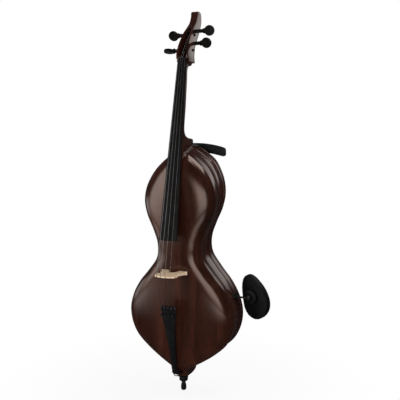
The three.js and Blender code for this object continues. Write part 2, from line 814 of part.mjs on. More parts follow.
// Tailpiece frame: its Z runs up the tailpiece from the tail end, and its Y runs towards the belly
const tail_rise_y = tailpiece_top_forward - tailpiece_bottom_forward;
const tail_rise_z = tailpiece_top_z - tailpiece_bottom_z;
const tailpiece_length = Math.hypot(tail_rise_y, tail_rise_z);
const tail_angle = Math.atan2(tail_rise_y, tail_rise_z);
const tail_matrix = new THREE.Matrix4()
  .makeTranslation(0, -tailpiece_bottom_forward, tailpiece_bottom_z)
  .multiply(new THREE.Matrix4().makeRotationX(tail_angle));
const inTail = (x, y, z) => vec(x, y, z).applyMatrix4(tail_matrix);
// Rows up the tailpiece: share of the length, share of the widening, and share of the depth
const tailpiece_shares = [
  [0, -0.05, 0.75],
  [0.03, 0, 1],
  [0.35, 0.09, 1],
  [0.7, 0.52, 1],
  [0.86, 0.81, 1],
  [0.97, 1, 1],
  [1, 0.97, 0.7],
];
const tailpiece_depth = 9;
const tailpiece_crown = 6;
const tailpiece_back_share = 0.86;
const crown_across_shares = [-1, -0.7, -0.3, 0, 0.3, 0.7, 1];
function tailpieceSolid() {
  const rings = tailpiece_shares.map(([up, wide, deep]) => {
    const half = mix(tailpiece_bottom_width, tailpiece_top_width, wide) / 2;
    const z = up * tailpiece_length;
    const half_depth = (tailpiece_depth * deep) / 2;
    const crown = crown_across_shares.map((a) =>
      inTail(a * half, -tailpiece_crown * deep * (1 - a * a) - half_depth, z),
    );
    const back_half = half * tailpiece_back_share;
    return [...crown, inTail(back_half, half_depth, z), inTail(-back_half, half_depth, z)];
  });
  return loft(rings);
}
let tailpiece = tailpieceSolid();

// Fine tuners: a lever in each slot, pushed from the front by a knurled screw
const tuner_pitch = 12.5;
const tuner_slot_width = 4.4;
const tuner_slot_length = 30;
const tuner_lever_width = 3.4;
const tuner_screw_down = 24;
const tuner_hook_up = 5;
const tuner_pivot_down = 5;
const tuner_pivot_radius = 1.2;
const lever_thickness = 3;
const screw_radius = 1.5;
const knob_radius = 4.2;
const knob_height = 7;
const screw_clearance = 0.3;
const claw_thickness = 2;
const claw_length = 4;
const lever_end_gap = 2;
const tuner_screw_proud = 3;
const tuner_knob_edge = 1;
const tuner_knob_round = 1.5;
const tailpiece_front = -(tailpiece_depth / 2 + tailpiece_crown);
const tailpiece_back = tailpiece_depth / 2;
const tunerX = (i) => string_shares[i] * 3 * tuner_pitch;
const tuner_levers = [];
const tuner_screws = [];
// A block in the tailpiece frame between two corners.
function tailBox(x0, x1, y0, y1, z0, z1) {
  const ring = (z) => [inTail(x0, y0, z), inTail(x1, y0, z), inTail(x1, y1, z), inTail(x0, y1, z)];
  return loft([ring(z0), ring(z1)]);
}
const lever_drop = 3;
for (let i = 0; i < string_names.length; i++) {
  const x = tunerX(i);
  const half_slot = tuner_slot_width / 2;
  const half_lever = tuner_lever_width / 2;
  const top = tailpiece_length;
  const slot = tailBox(
    x - half_slot,
    x + half_slot,
    tailpiece_front - cut_overrun,
    tailpiece_back + cut_overrun,
    top - tuner_pivot_down - lever_thickness - rest_gap,
    top + cut_overrun,
  );
  const under = tailBox(
    x - half_slot,
    x + half_slot,
    tailpiece_back - lever_drop,
    tailpiece_back + cut_overrun,
    top - tuner_slot_length,
    top + cut_overrun,
  );
  const screw_z = top - tuner_screw_down;
  const bore = rod(
    inTail(x, tailpiece_front - cut_overrun, screw_z),
    inTail(x, tailpiece_back + cut_overrun, screw_z),
    screw_radius + screw_clearance,
    16,
  );
  tailpiece = tailpiece.subtract(slot).subtract(under).subtract(bore);
  // an L-shaped lever: the short arm hooks the string in front, and the long arm runs back under the screw
  const hook = tailBox(
    x - half_lever,
    x + half_lever,
    tailpiece_front - tuner_hook_up,
    tailpiece_back - lever_drop + rest_gap + lever_thickness,
    top - tuner_pivot_down - lever_thickness,
    top - tuner_pivot_down,
  );
  const arm = tailBox(
    x - half_lever,
    x + half_lever,
    tailpiece_back - lever_drop + rest_gap,
    tailpiece_back - lever_drop + rest_gap + lever_thickness,
    top - tuner_slot_length + lever_end_gap,
    top - tuner_pivot_down,
  );
  const claw = tailBox(
    x - half_lever,
    x + half_lever,
    tailpiece_front - tuner_hook_up,
    tailpiece_front - tuner_hook_up + claw_thickness,
    top - tuner_pivot_down - rest_gap,
    top - tuner_pivot_down + claw_length,
  );
  tuner_levers.push(hook.add(arm).add(claw));
  const screw_start = inTail(x, tailpiece_back - lever_drop, screw_z);
  const front_way = inTail(0, -1, 0).sub(inTail(0, 0, 0));
  const shaft = tailpiece_back - lever_drop - tailpiece_front + tuner_screw_proud;
  const profile = [
    [0, 0],
    [screw_radius, 0],
    [screw_radius, shaft],
    [knob_radius * 0.8, shaft],
    [knob_radius, shaft + tuner_knob_edge],
    [knob_radius, shaft + knob_height - tuner_knob_round],
    [knob_radius * 0.7, shaft + knob_height],
    [0, shaft + knob_height],
  ];
  tuner_screws.push(turned(profile, screw_start, front_way, 16));
}
// The pivot pin goes through all four levers.
const pin_inset = 2;
const pin_short = 1;
const pin_half = tailpiece_bottom_width * 1.3 - pin_short;
const pin_y = tailpiece_back - lever_drop - pin_inset;
const pin_z = tailpiece_length - tuner_pivot_down - lever_thickness / 2;
const pivotPin = (radius, half) => rod(inTail(-half, pin_y, pin_z), inTail(half, pin_y, pin_z), radius, 14);
const tuner_pin = pivotPin(tuner_pivot_radius, pin_half);
const pin_bore = pivotPin(tuner_pivot_radius + rest_gap, pin_half + rest_gap);
tailpiece = tailpiece.subtract(pin_bore);

// Tail wire: a loop from the tailpiece's tail end over the saddle to the endpin collar
const tail_wire_radius = 1.4;
const tail_wire_half = 5;
const wire_hole_z = 9;
const wire_lean = 1;
const saddle_top_y = -saddle_forward - saddle_height - tail_wire_radius - rest_gap;
const collar_groove_z = 51;
const wireSide = (side) => [
  inTail(side * tail_wire_half, tailpiece_back + tail_wire_radius + rest_gap, wire_hole_z),
  inTail(side * tail_wire_half, tailpiece_back + tail_wire_radius + rest_gap, 0),
  vec(side * tail_wire_half, saddle_top_y, saddle_top_z + saddle_height / 3),
  vec(side * tail_wire_half * 1.3, saddle_top_y + wire_lean, saddle_top_z - saddle_height),
];
const collar_loop = collar_radius + tail_wire_radius + rest_gap;
const loopPoint = (turn) =>
  vec(collar_loop * Math.sin(turn), -collar_loop * Math.cos(turn), collar_groove_z);
const loop_turns = [-0.75, -1.5, -2.3, -Math.PI, -3.98, -4.78, -5.53];
const tail_wire_path = [...wireSide(-1), ...loop_turns.map(loopPoint), ...wireSide(1).reverse()];
const tail_wire = wire(tail_wire_path, tail_wire_radius, 40, 6);

// Endpin: a collar plugged into the tail block, a steel rod that slides in it, and a rubber tip
const collar_groove = tail_wire_radius;
const collar_plug_radius = 11;
const collar_plug_top = 96;
const collar_taper = 4;
const groove_half = 3;
const plug_taper = 2;
const collar_profile = [
  [0, collar_bottom_z],
  [collar_radius * 0.75, collar_bottom_z],
  [collar_radius, collar_bottom_z + collar_taper],
  [collar_radius, collar_groove_z - groove_half],
  [collar_radius - collar_groove, collar_groove_z],
  [collar_radius, collar_groove_z + groove_half],
  [collar_radius, collar_top_z],
  [collar_plug_radius, collar_top_z],
  [collar_plug_radius - plug_taper, collar_plug_top],
  [0, collar_plug_top],
];
const up_way = vec(0, 0, 1);
const origin = vec(0, 0, 0);
const collar_body = turned(collar_profile, origin, up_way, 24);
const rod_bore_top = vec(0, 0, tail_block_top_z + cut_overrun);
const rod_bore = rod(origin, rod_bore_top, endpin_rod_radius + endpin_clearance, 20);
const screw_z = 38;
const thumb_screw_radius = 2;
const thumb_start = endpin_rod_radius + endpin_clearance + rest_gap;
const thumb_bore_end = vec(0, collar_radius * 2, screw_z);
const thumb_bore = rod(vec(0, 0, screw_z), thumb_bore_end, thumb_screw_radius + rest_gap, 16);
const endpin_collar = collar_body.subtract(rod_bore).subtract(thumb_bore);
const thumb_head_radius = 6;
const thumb_head_length = 9;
const thumb_head_round = 1;
const thumb_head_gap = 1;
const thumb_head_start = collar_radius - thumb_start + thumb_head_gap;
const thumb_profile = [
  [0, 0],
  [thumb_screw_radius, 0],
  [thumb_screw_radius, thumb_head_start],
  [thumb_head_radius - thumb_head_round, thumb_head_start],
  [thumb_head_radius, thumb_head_start + 2 * thumb_head_round],
  [thumb_head_radius, thumb_head_start + thumb_head_length - thumb_head_round],
  [thumb_head_radius - thumb_head_round, thumb_head_start + thumb_head_length],
  [0, thumb_head_start + thumb_head_length],
];
const endpin_screw = turned(thumb_profile, vec(0, thumb_start, screw_z), vec(0, 1, 0), 20);
const rod_in_tip_share = 0.4;
const tip_round = 4;
const rod_start = vec(0, 0, tip_length * rod_in_tip_share);
const endpin_rod = rod(rod_start, vec(0, 0, tip_length + endpin_rod_length), endpin_rod_radius, 20);
const tip_profile = [
  [0, 0],
  [tip_radius * 0.72, 0],
  [tip_radius, tip_round],
  [tip_radius, tip_length * 0.6],
  [tip_radius * 0.8, tip_length - tip_round],
  [tip_radius * 0.7, tip_length],
  [0, tip_length],
];
const tip_bore_start = vec(0, 0, tip_length * rod_in_tip_share - rest_gap);
const tip_bore = rod(tip_bore_start, vec(0, 0, tip_length * 2), endpin_rod_radius + rest_gap, 20);
const endpin_tip = turned(tip_profile, origin, up_way, 24).subtract(tip_bore);
const plug_bore = rod(origin, vec(0, 0, collar_plug_top + rest_gap), collar_plug_radius + rest_gap, 28);
const tail_block = tailBlock().subtract(plug_bore).subtract(rod_bore);

// Pegs: the string each one holds, its place up the head, the side its head is on, how many degrees its thumb
// head is turned, how far its collar stands out, and how deep it sits, so that strings pass the other pegs
const peg_station_shares = [
  { string: 0, up: 0.1835, side: -1, turn: 80, out: 0.8158, deep: 0.68 },
  { string: 1, up: 0.5, side: -1, turn: 35, out: 0.7105, deep: 0.42 },
  { string: 2, up: 0.5696, side: 1, turn: 10, out: 1, deep: 0.26 },
  { string: 3, up: 0.3228, side: 1, turn: 25, out: 0.7368, deep: 0.65 },
];
const peg_collar_out = 38;
const peg_shaft_thick = 6;
const peg_shaft_thin = 4.6;
const peg_clearance = 0.35;
const peg_end_proud = 3;
const peg_head_half = 17;
const peg_head_depth = 5.5;
const peg_head_sink = 1;
const peg_end_round = 0.8;
const peg_taper_over = 3;
const peg_collar_rise = 2.6;
const peg_collar_length = 6;
// The front edge, back edge and half width of the head at a height.
function headAt(z) {
  const upper = Math.max(1, head_stations.findIndex((s) => (s.front[0] + s.back[0]) / 2 > z));
  const [low, high] = [head_stations[upper - 1], head_stations[upper]];
  const height = (s) => (s.front[0] + s.back[0]) / 2;
  const share = (z - height(low)) / (height(high) - height(low));
  return {
    front: mix(low.front[1], high.front[1], share),
    back: mix(low.back[1], high.back[1], share),
    half: mix(low.half, high.half, share),
  };
}
const pegs = peg_station_shares.map((station) => {
  const z = nut_height_z + station.up * head_length;
  const at = headAt(z);
  const y = mix(at.front, at.back, station.deep);
  const way = vec(station.side, 0, 0);
  const centre = vec(0, y, z);
  const thin_end = centre.clone().addScaledVector(way, -(at.half + peg_end_proud));
  const reach = 2 * at.half + peg_end_proud;
  const collar_end = reach + station.out * peg_collar_out;
  const shaft = [
    [0, 0],
    [peg_shaft_thin - peg_end_round, 0],
    [peg_shaft_thin, peg_end_round * 1.5],
    [peg_shaft_thick, reach + peg_taper_over],
    [peg_shaft_thick, collar_end - peg_collar_length],
    [peg_shaft_thick + peg_collar_rise, collar_end - (peg_collar_length * 2) / 3],
    [peg_shaft_thick + peg_collar_rise, collar_end - peg_collar_length / 6],
    [peg_shaft_thick, collar_end],
    [0, collar_end + (peg_collar_length * 2) / 3],
  ];
  const stem = turned(shaft, thin_end, way, 14);
  // a thumb head: a flattened disc with hollowed faces, turned about the shaft
  const head_profile = [];
  const steps = 6;
  for (let i = 0; i <= steps; i++) {
    const angle = (Math.PI * i) / steps - Math.PI / 2;
    head_profile.push([peg_head_half * (0.9 + 0.1 * Math.cos(angle)), peg_head_depth * Math.sin(angle)]);
  }
  const disc = [[0, -peg_head_depth * 0.55], ...head_profile, [0, peg_head_depth * 0.55]];
  const face_way = vec(0, Math.cos(degrees(station.turn)), Math.sin(degrees(station.turn)));
  const head_centre = thin_end.clone().addScaledVector(way, collar_end + peg_head_half - peg_head_sink);
  const head = turned(disc, head_centre, face_way.negate(), 18);
  return { solid: stem.add(head), string: station.string, thin_end, way, reach, centre };
});
const peg_bores = pegs.map(({ thin_end, way, reach }) => {
  const profile = [
    [0, -cut_overrun],
    [peg_shaft_thin + peg_clearance, -cut_overrun],
    [peg_shaft_thin + peg_clearance, peg_end_round * 1.5],
    [peg_shaft_thick + peg_clearance, reach + peg_taper_over],
    [peg_shaft_thick + peg_clearance, reach + 2 * cut_overrun],
    [0, reach + 2 * cut_overrun],
  ];
  return turned(profile, thin_end, way, 18);
});
neck = peg_bores.reduce((solid, bore) => solid.subtract(bore), neck);

// Each string runs from its tuner over the bridge and the nut to its peg.
const string_hook_down = 2;
const string_gather_share = 0.8;
const landing_share = 0.7;
const strings = string_names.map((name, i) => {
  const radius = string_radii[i];
  const nut = nutPoint(i);
  const bridge_top = bridgePoint(i);
  const hook_y = tailpiece_front - tuner_hook_up - radius - rest_gap;
  const hook = inTail(tunerX(i), hook_y, tailpiece_length - string_hook_down);
  const peg = pegs.find((p) => p.string === i);
  const off_peg = (peg_shaft_thick + radius + rest_gap) * landing_share;
  const landing = vec(nut.x * string_gather_share, peg.centre.y - off_peg, peg.centre.z - off_peg);
  return straightRuns([hook, bridge_top, nut, landing], radius, string_sides);
});

// Control cavity: a cut in the back, closed by a plate that carries the two controls and the output jack
const control_up_share = 0.3269;
const control_z = body_bottom_z + control_up_share * body_length;
const cover_width = 118;
const cover_height = 58;
const cover_thickness = 2.5;
const cavity_width = 100;
const cavity_height = 40;
const back_crown_y = back_rim_y + back_arch;
const cover_lift = 1;
const cover_y = back_crown_y + cover_lift;
const control_pitch = 34;
const control_names = ["volume", "tone"];
const pot_radius = 12;
const pot_depth = 10;
const bush_radius = 3.5;
const shaft_radius = 3;
const knob_outer = 9.5;
const knob_tall = 14;
const jack_radius = 6;
const jack_depth = 22;
const jack_bore = 3.3;
const jack_thread_radius = 5;
const jack_proud = 3;
const jack_end_wall = 3;
const bush_proud = 2;
const shaft_proud = 9;
const knob_stand = 3;
const knob_round = 2;
const screw_head_radius = 3.2;
const back_way = vec(0, 1, 0);
const controlCentre = (i) => vec((i - 1) * control_pitch, cover_y, control_z);
// The back with what lies just inside it, to fit what is laid on it.
function backCutter(lift) {
  return moved(back_plate, 0, lift, 0).add(moved(back_plate, 0, lift + cut_overlap - plate_thickness, 0));
}
const cavity_block = box(cavity_width, cut_overrun * 10, cavity_height, vec(0, back_crown_y, control_z));
const cover_block_depth = cover_thickness + cut_overrun;
const cover_middle = vec(0, cover_y + cover_thickness - cover_block_depth / 2, control_z);
const recess_margin = 2;
const cover_recess = box(
  cavity_width - 2 * recess_margin,
  cover_block_depth,
  cavity_height - 2 * recess_margin,
  vec(0, cover_y - cover_block_depth / 2, control_z),
);
let control_cover = box(cover_width, cover_block_depth, cover_height, cover_middle)
  .subtract(cover_recess)
  .subtract(backCutter(rest_gap));
const tray_cutter = backCutter(rest_gap);
back_plate = back_plate.subtract(cavity_block);
const pots = [];
const knobs = [];
control_names.forEach((name, i) => {
  const centre = controlCentre(i);
  const pot = turned(
    [
      [0, -pot_depth],
      [pot_radius, -pot_depth],
      [pot_radius, 0],
      [bush_radius, 0],
      [bush_radius, cover_thickness + bush_proud],
      [shaft_radius, cover_thickness + bush_proud],
      [shaft_radius, cover_thickness + shaft_proud],
      [0, cover_thickness + shaft_proud],
    ],
    centre.clone().setY(cover_y - rest_gap),
    back_way,
    20,
  );
  const knob_start = cover_thickness + knob_stand;
  const knob = turned(
    [
      [0, cover_thickness + shaft_proud],
      [shaft_radius + rest_gap, cover_thickness + shaft_proud],
      [shaft_radius + rest_gap, knob_start],
      [knob_outer, knob_start],
      [knob_outer * 0.94, knob_start + knob_tall - knob_round],
      [knob_outer * 0.8, knob_start + knob_tall],
      [0, knob_start + knob_tall],
    ],
    centre.clone(),
    back_way,
    24,
  );
  pots.push(pot);
  knobs.push(knob);
  const hole = rod(
    centre.clone().setY(cover_y - cut_overrun * 2),
    centre.clone().setY(cover_y + cut_overrun * 2),
    bush_radius + rest_gap,
    20,
  );
  control_cover = control_cover.subtract(hole);
});
const jack_centre = controlCentre(2);
const jack_profile = [
  [0, -jack_depth],
  [jack_radius * 1.2, -jack_depth],
  [jack_radius * 1.2, 0],
  [jack_thread_radius, 0],
  [jack_thread_radius, cover_thickness + jack_proud],
  [0, cover_thickness + jack_proud],
];
const jackAt = (depth) => jack_centre.clone().setY(cover_y + depth);
const jack_hole = (radius) => rod(jackAt(jack_end_wall - jack_depth), jackAt(jack_depth), radius, 20);
const output_jack = turned(jack_profile, jackAt(-rest_gap), back_way, 20).subtract(jack_hole(jack_bore));
const nut_start = jackAt(cover_thickness + rest_gap);
const jack_nut = rod(nut_start, jackAt(cover_thickness + jack_proud), jack_radius * 1.3, 6).subtract(
  jack_hole(jack_thread_radius + rest_gap),
);
control_cover = control_cover.subtract(jack_hole(jack_thread_radius + rest_gap));
const board_width = 78;
const board_height = 32;
const board_thickness = 1.6;
const board_behind = 2;
const board_aside = 4;
const board_y = cover_y - jack_depth - board_behind;
const board_block = box(board_width, board_thickness, board_height, vec(-board_aside, board_y, control_z));
const chip_size = 8;
const chip_thickness = 2.2;
const chip_sink = 0.1;
const chip_y = board_y - (board_thickness + chip_thickness) / 2 + chip_sink;
const chip = box(chip_size, chip_thickness, chip_size, vec(0, chip_y, control_z));
const stand_off_radius = 2;
const board_stand_offs = [0, 1].map((i) =>
  rod(
    controlCentre(i).setY(board_y),
    controlCentre(i).setY(cover_y - pot_depth - 2 * rest_gap),
    stand_off_radius,
    12,
  ),
);
const preamp_board = [...board_stand_offs, chip].reduce((whole, piece) => whole.add(piece), board_block);

// Battery box: a tray let into the back under a hinged lid
const battery_up_share = 0.2033;
const battery_z = body_bottom_z + battery_up_share * body_length;
const battery_length = 48.5;
const battery_width = 26.5;
const battery_depth = 17.5;
const tray_wall = 2;
const tray_clearance = 0.8;
const tray_flange = 6;
const tray_flange_thickness = 2;
const tray_inner_length = battery_length + 2 * tray_clearance;
const tray_inner_width = battery_width + 2 * tray_clearance;
const tray_length = tray_inner_length + 2 * tray_wall;
const tray_width = tray_inner_width + 2 * tray_wall;
const tray_lift = 1;
const tray_shell_proud = 1;
const tray_outer_y = back_crown_y + tray_lift;
const tray_shell_top = tray_outer_y + tray_shell_proud;
const tray_inner_depth = battery_depth + tray_clearance;
const tray_middle = (depth, top) => vec(0, top - depth / 2, battery_z);
const flange_depth = tray_flange_thickness + cut_overrun;
const tray_shell_depth = tray_inner_depth + tray_wall;
let battery_tray = box(
  tray_length + 2 * tray_flange,
  flange_depth,
  tray_width + 2 * tray_flange,
  tray_middle(flange_depth, tray_outer_y + tray_flange_thickness),
)
  .subtract(tray_cutter)
  .add(box(tray_length, tray_shell_depth, tray_width, tray_middle(tray_shell_depth, tray_shell_top)))
  .subtract(
    box(tray_inner_length, tray_inner_depth * 2, tray_inner_width, tray_middle(0, tray_shell_top)),
  );
back_plate = back_plate.subtract(
  box(
    tray_length + 2 * rest_gap,
    tray_shell_depth * 2,
    tray_width + 2 * rest_gap,
    tray_middle(0, back_crown_y),
  ),
);
const battery = box(
  battery_length,
  battery_depth,
  battery_width,
  tray_middle(battery_depth, tray_shell_top - tray_clearance),
);
const lid_y = tray_outer_y + tray_flange_thickness + rest_gap;
const lid_thickness = 2;
const lid_pin_radius = 1.2;
const lid_margin = 2;
const hinge_below = 1.5;
const hinge_proud = 1.6;
const barrel_wall = 1.2;
const lid_half_length = tray_length / 2 + lid_margin;
const lid_half_width = tray_width / 2 + lid_margin;
const lid_hinge_z = battery_z - lid_half_width - hinge_below;
const lid_pin_y = lid_y + lid_thickness / 2 + hinge_proud;
const lid_barrel_radius = lid_pin_radius + barrel_wall;
function lidPin(radius, half) {
  return rod(vec(-half, lid_pin_y, lid_hinge_z), vec(half, lid_pin_y, lid_hinge_z), radius, 14);
}
const lid_plate = box(
  2 * lid_half_length,
  lid_thickness,
  2 * lid_half_width,
  vec(0, lid_y + lid_thickness / 2, battery_z),
);
const lid_barrel = lidPin(lid_barrel_radius, lid_half_length / 2);
const tab_width = 14;
const tab_reach = 5;
const tab_sink = 0.5;
const tab_z = battery_z + lid_half_width + tab_reach / 2 - tab_sink;
const finger_tab = box(tab_width, lid_thickness, tab_reach, vec(0, lid_y + lid_thickness / 2, tab_z));
const ear_width = 5;
const ear_x = lid_half_length / 2 + rest_gap + ear_width / 2;
// The two round-topped ears on the box that carry the lid's hinge pin.
function hingeEars(extra) {
  const half = ear_width / 2 + extra;
  const foot = lid_pin_y - tray_outer_y;
  const radius = lid_barrel_radius + extra;
  const ears = [-1, 1].map((side) => {
    const x = side * ear_x;
    const top = rod(vec(x - half, lid_pin_y, lid_hinge_z), vec(x + half, lid_pin_y, lid_hinge_z), radius, 16);
    return top.add(box(2 * half, foot, 2 * radius, vec(x, tray_outer_y + foot / 2, lid_hinge_z)));
  });
  return ears[0].add(ears[1]);
}
const battery_lid = lid_plate.add(lid_barrel).add(finger_tab)
  .subtract(lidPin(lid_pin_radius + rest_gap, lid_half_length))
  .subtract(hingeEars(rest_gap));
battery_tray = battery_tray.add(hingeEars(0)).subtract(lidPin(lid_pin_radius + rest_gap, lid_half_length));
const lid_pin = lidPin(lid_pin_radius, lid_half_length * 0.72);

// Chest rest: a padded bar behind the shoulders, on a tongue that slides in a bracket and is held by a knob
const chest_bar_over_body = 13.5;
const chest_bar_z = body_top_z + chest_bar_over_body;
const chest_droop = 15.5;
const tongue_clearance = 3;
const tongue_y = back_crown_y + tongue_clearance;
const tongue_proud = 9;
const chest_bar_y = tongue_y + tongue_proud;
const chest_wrap = 6;
const chest_bar_thickness = 6;
const chest_pad_thickness = 17;
const chest_bracket_below_top = 30;
const chest_bracket_z = body_top_z - chest_bracket_below_top;
const chest_bracket_width = 44;
const chest_bracket_height = 56;
const bracket_cheek = 4.5;
const chest_bracket_y = tongue_y + bracket_cheek;
const tongue_width = 22;
const tongue_thickness = 6.5;
const tongue_below = 38;
const chest_travel = 15;
const chest_knob_shaft = 3;
const chest_knob_radius = 11;
const chest_half = chest_rest_width / 2;
// A ring round the bar or its pad at a share of the span, with its face at a depth behind the bar's middle.
const bar_ring_sides = 12;
function barRing(share, near, far, half_height) {
  const x = share * chest_half;
  const z = chest_bar_z - chest_droop * share * share;
  const y = chest_bar_y + chest_wrap * share * share;
  const ring = [];
  for (let i = 0; i < bar_ring_sides; i++) {
    const angle = (full_turn * (i + 0.5)) / bar_ring_sides;
    const up = Math.sign(Math.sin(angle)) * Math.abs(Math.sin(angle)) ** 0.5;
    const back = (1 + Math.sign(Math.cos(angle)) * Math.abs(Math.cos(angle)) ** 0.5) / 2;
    ring.push(vec(x, y + mix(near, far, back), z + up * half_height));
  }
  return ring;
}
const bar_end_shares = [
  [1, 0.55],
  [0.985, 0.82],
  [0.95, 0.97],
  [0.88, 1],
];
const bar_stations = [
  ...bar_end_shares.map(([along, tall]) => [-along, tall]),
  [-0.6, 1],
  [-0.3, 1],
  [0, 1],
  [0.3, 1],
  [0.6, 1],
  ...[...bar_end_shares].reverse(),
];
const bar_half = chest_rest_height / 2;
const bar_near = -chest_bar_thickness / 2;
const bar_far = chest_bar_thickness / 2;
const bar_rings = bar_stations.map(([share, tall]) => barRing(share, bar_near, bar_far, bar_half * tall));
const tongue_top = chest_bar_z;
const tongue_bottom = chest_bracket_z - tongue_below;
const tongue = box(
  tongue_width - 2 * rest_gap,
  tongue_thickness,
  tongue_top - tongue_bottom,
  vec(0, tongue_y + rest_gap + tongue_thickness / 2, (tongue_top + tongue_bottom) / 2),
);
const knob_slot_half = chest_travel + chest_knob_shaft + rest_gap;
const knob_slot = box(
  2 * (chest_knob_shaft + rest_gap),
  cut_overrun * 4,
  2 * knob_slot_half,
  vec(0, tongue_y + tongue_thickness / 2, chest_bracket_z),
);
const chest_bar = loft(bar_rings).add(tongue).subtract(knob_slot);
const pad_near = bar_far + rest_gap;
const pad_crown_shares = [
  [1, 0.42, 0.35],
  [0.985, 0.68, 0.62],
  [0.95, 0.88, 0.84],
  [0.86, 0.97, 0.97],
];
const pad_stations = [
  ...pad_crown_shares.map(([along, tall, deep]) => [-along, tall, deep]),
  [-0.5, 0.99, 1],
  [0, 1, 1],
  [0.5, 0.99, 1],
  ...[...pad_crown_shares].reverse(),
];
const chest_pad = loft(
  pad_stations.map(([share, tall, deep]) =>
    barRing(share, pad_near, pad_near + chest_pad_thickness * deep, bar_half * tall),
  ),
);
const bracket_depth = chest_bracket_y - back_crown_y + cut_overrun * 2;
const bracket_block = box(
  chest_bracket_width,
  bracket_depth,
  chest_bracket_height,
  vec(0, chest_bracket_y - bracket_depth / 2, chest_bracket_z),
);
const bracket_channel = box(
  tongue_width,
  tongue_thickness * 2,
  chest_bracket_height + cut_overrun,
  vec(0, tongue_y + tongue_thickness, chest_bracket_z),
);
const knob_bore_depth = 4;
const chestRod = (start_y, end_y, radius, sides) =>
  rod(vec(0, start_y, chest_bracket_z), vec(0, end_y, chest_bracket_z), radius, sides);
const bracket_screw_x = (chest_bracket_width + tongue_width) / 4;
const screw_shank_radius = 1.6;
const screw_head_height = 1.8;
const screw_length = 14;
const screw_point = 2;
// A wood screw with its head on a surface facing backwards.
function backScrew(x, y, z) {
  const profile = [
    [0, -screw_length],
    [screw_shank_radius, -screw_length + screw_point],
    [screw_shank_radius, 0],
    [screw_head_radius, 0],
    [screw_head_radius * 0.8, screw_head_height],
    [0, screw_head_height],
  ];
  return turned(profile, vec(x, y, z), back_way, 10);
}
function screwBore(x, y, z) {
  const end = vec(x, y - screw_length - rest_gap, z);
  return rod(end, vec(x, y + cut_overrun, z), screw_shank_radius + rest_gap, 10);
}
const bracket_screws = [];
const chest_knob_bore_radius = chest_knob_shaft + rest_gap;
const chest_knob_bore_end = tongue_y - knob_bore_depth;
const chest_knob_bore = chestRod(chest_knob_bore_end, tongue_y + cut_overrun, chest_knob_bore_radius, 16);
const bracket_blank = bracket_block.subtract(backCutter(rest_gap)).subtract(bracket_channel);
let chest_bracket = bracket_blank.subtract(chest_knob_bore);
for (const side of [-1, 1]) {
  const x = side * bracket_screw_x;
  bracket_screws.push(backScrew(x, chest_bracket_y + rest_gap, chest_bracket_z));
  chest_bracket = chest_bracket.subtract(screwBore(x, chest_bracket_y, chest_bracket_z));
  back_plate = back_plate.subtract(screwBore(x, chest_bracket_y, chest_bracket_z));
}
const knob_face = tongue_y + tongue_thickness + 2 * rest_gap;
const chest_knob_neck = 3;
const chest_knob_round = 2;
const chest_knob_tall = 14;
const chest_knob_profile = [
  [0, tongue_y - knob_bore_depth + rest_gap],
  [chest_knob_shaft, tongue_y - knob_bore_depth + rest_gap],
  [chest_knob_shaft, knob_face],
  [chest_knob_radius * 0.7, knob_face],
  [chest_knob_radius * 0.7, knob_face + chest_knob_neck],
  [chest_knob_radius, knob_face + chest_knob_neck + chest_knob_round / 2],
  [chest_knob_radius, knob_face + chest_knob_tall - chest_knob_round],
  [chest_knob_radius - chest_knob_round, knob_face + chest_knob_tall],
  [0, knob_face + chest_knob_tall],
];
const chest_knob = turned(chest_knob_profile, vec(0, 0, chest_bracket_z), back_way, 20);

// Knee rest, on the player's left: an arm that slides out of the rib carries a padded plate on a ribbed hub
const knee_reach = 32;
const knee_backward = 78;
const knee_up_share = 0.364;
const knee_pivot = vec(
  lower_bout_width / 2 + knee_reach,
  front_rim_y + knee_backward,
  body_bottom_z + knee_up_share * body_length,
);
const knee_yaw = -11.5;
const knee_matrix = new THREE.Matrix4()
  .makeTranslation(knee_pivot.x, knee_pivot.y, knee_pivot.z)
  .multiply(new THREE.Matrix4().makeRotationZ(degrees(knee_yaw)));
const inKnee = (x, y, z) => vec(x, y, z).applyMatrix4(knee_matrix);
const knee_way = inKnee(0, 1, 0).sub(knee_pivot);
const knee_arm_radius = 3.3;
const knee_arm_short = 8.6;
const knee_arm_end = knee_pivot.x - knee_arm_short;
const knee_eye_radius = 10;
const knee_eye_half = 3.6;
const knee_socket_radius = 11;
const knee_socket_short = 42;
const knee_flange_depth = 12;
const knee_spigot_length = 28;
const knee_arm_inside = 11;
const knee_collet_depth = 6;
const knee_socket_out = knee_pivot.x - knee_socket_short;
const knee_socket_in = knee_socket_out - knee_flange_depth;
const knee_spigot_radius = 7;
const knee_spigot_start = knee_socket_out - knee_spigot_length;
const knee_arm_start = knee_spigot_start - knee_arm_inside;
const knee_collet_out = knee_socket_out + knee_collet_depth;
const knee_nut_radius = 11;
const knee_hub_radius = 25;
const knee_hub_start = knee_eye_half + 2 * rest_gap;
const knee_hub_end = 17;
const knee_plate_end = 21;
const knee_pad_thickness = 24;
const knee_pin_radius = 3;
const knee_pad_aside = 13.5;
const knee_nut_inset = 1;
const knee_nut_thickness = 7;
const knee_screw_head = 3.5;
const knee_screw_dome = 0.5;
const knee_screw_short = 4;
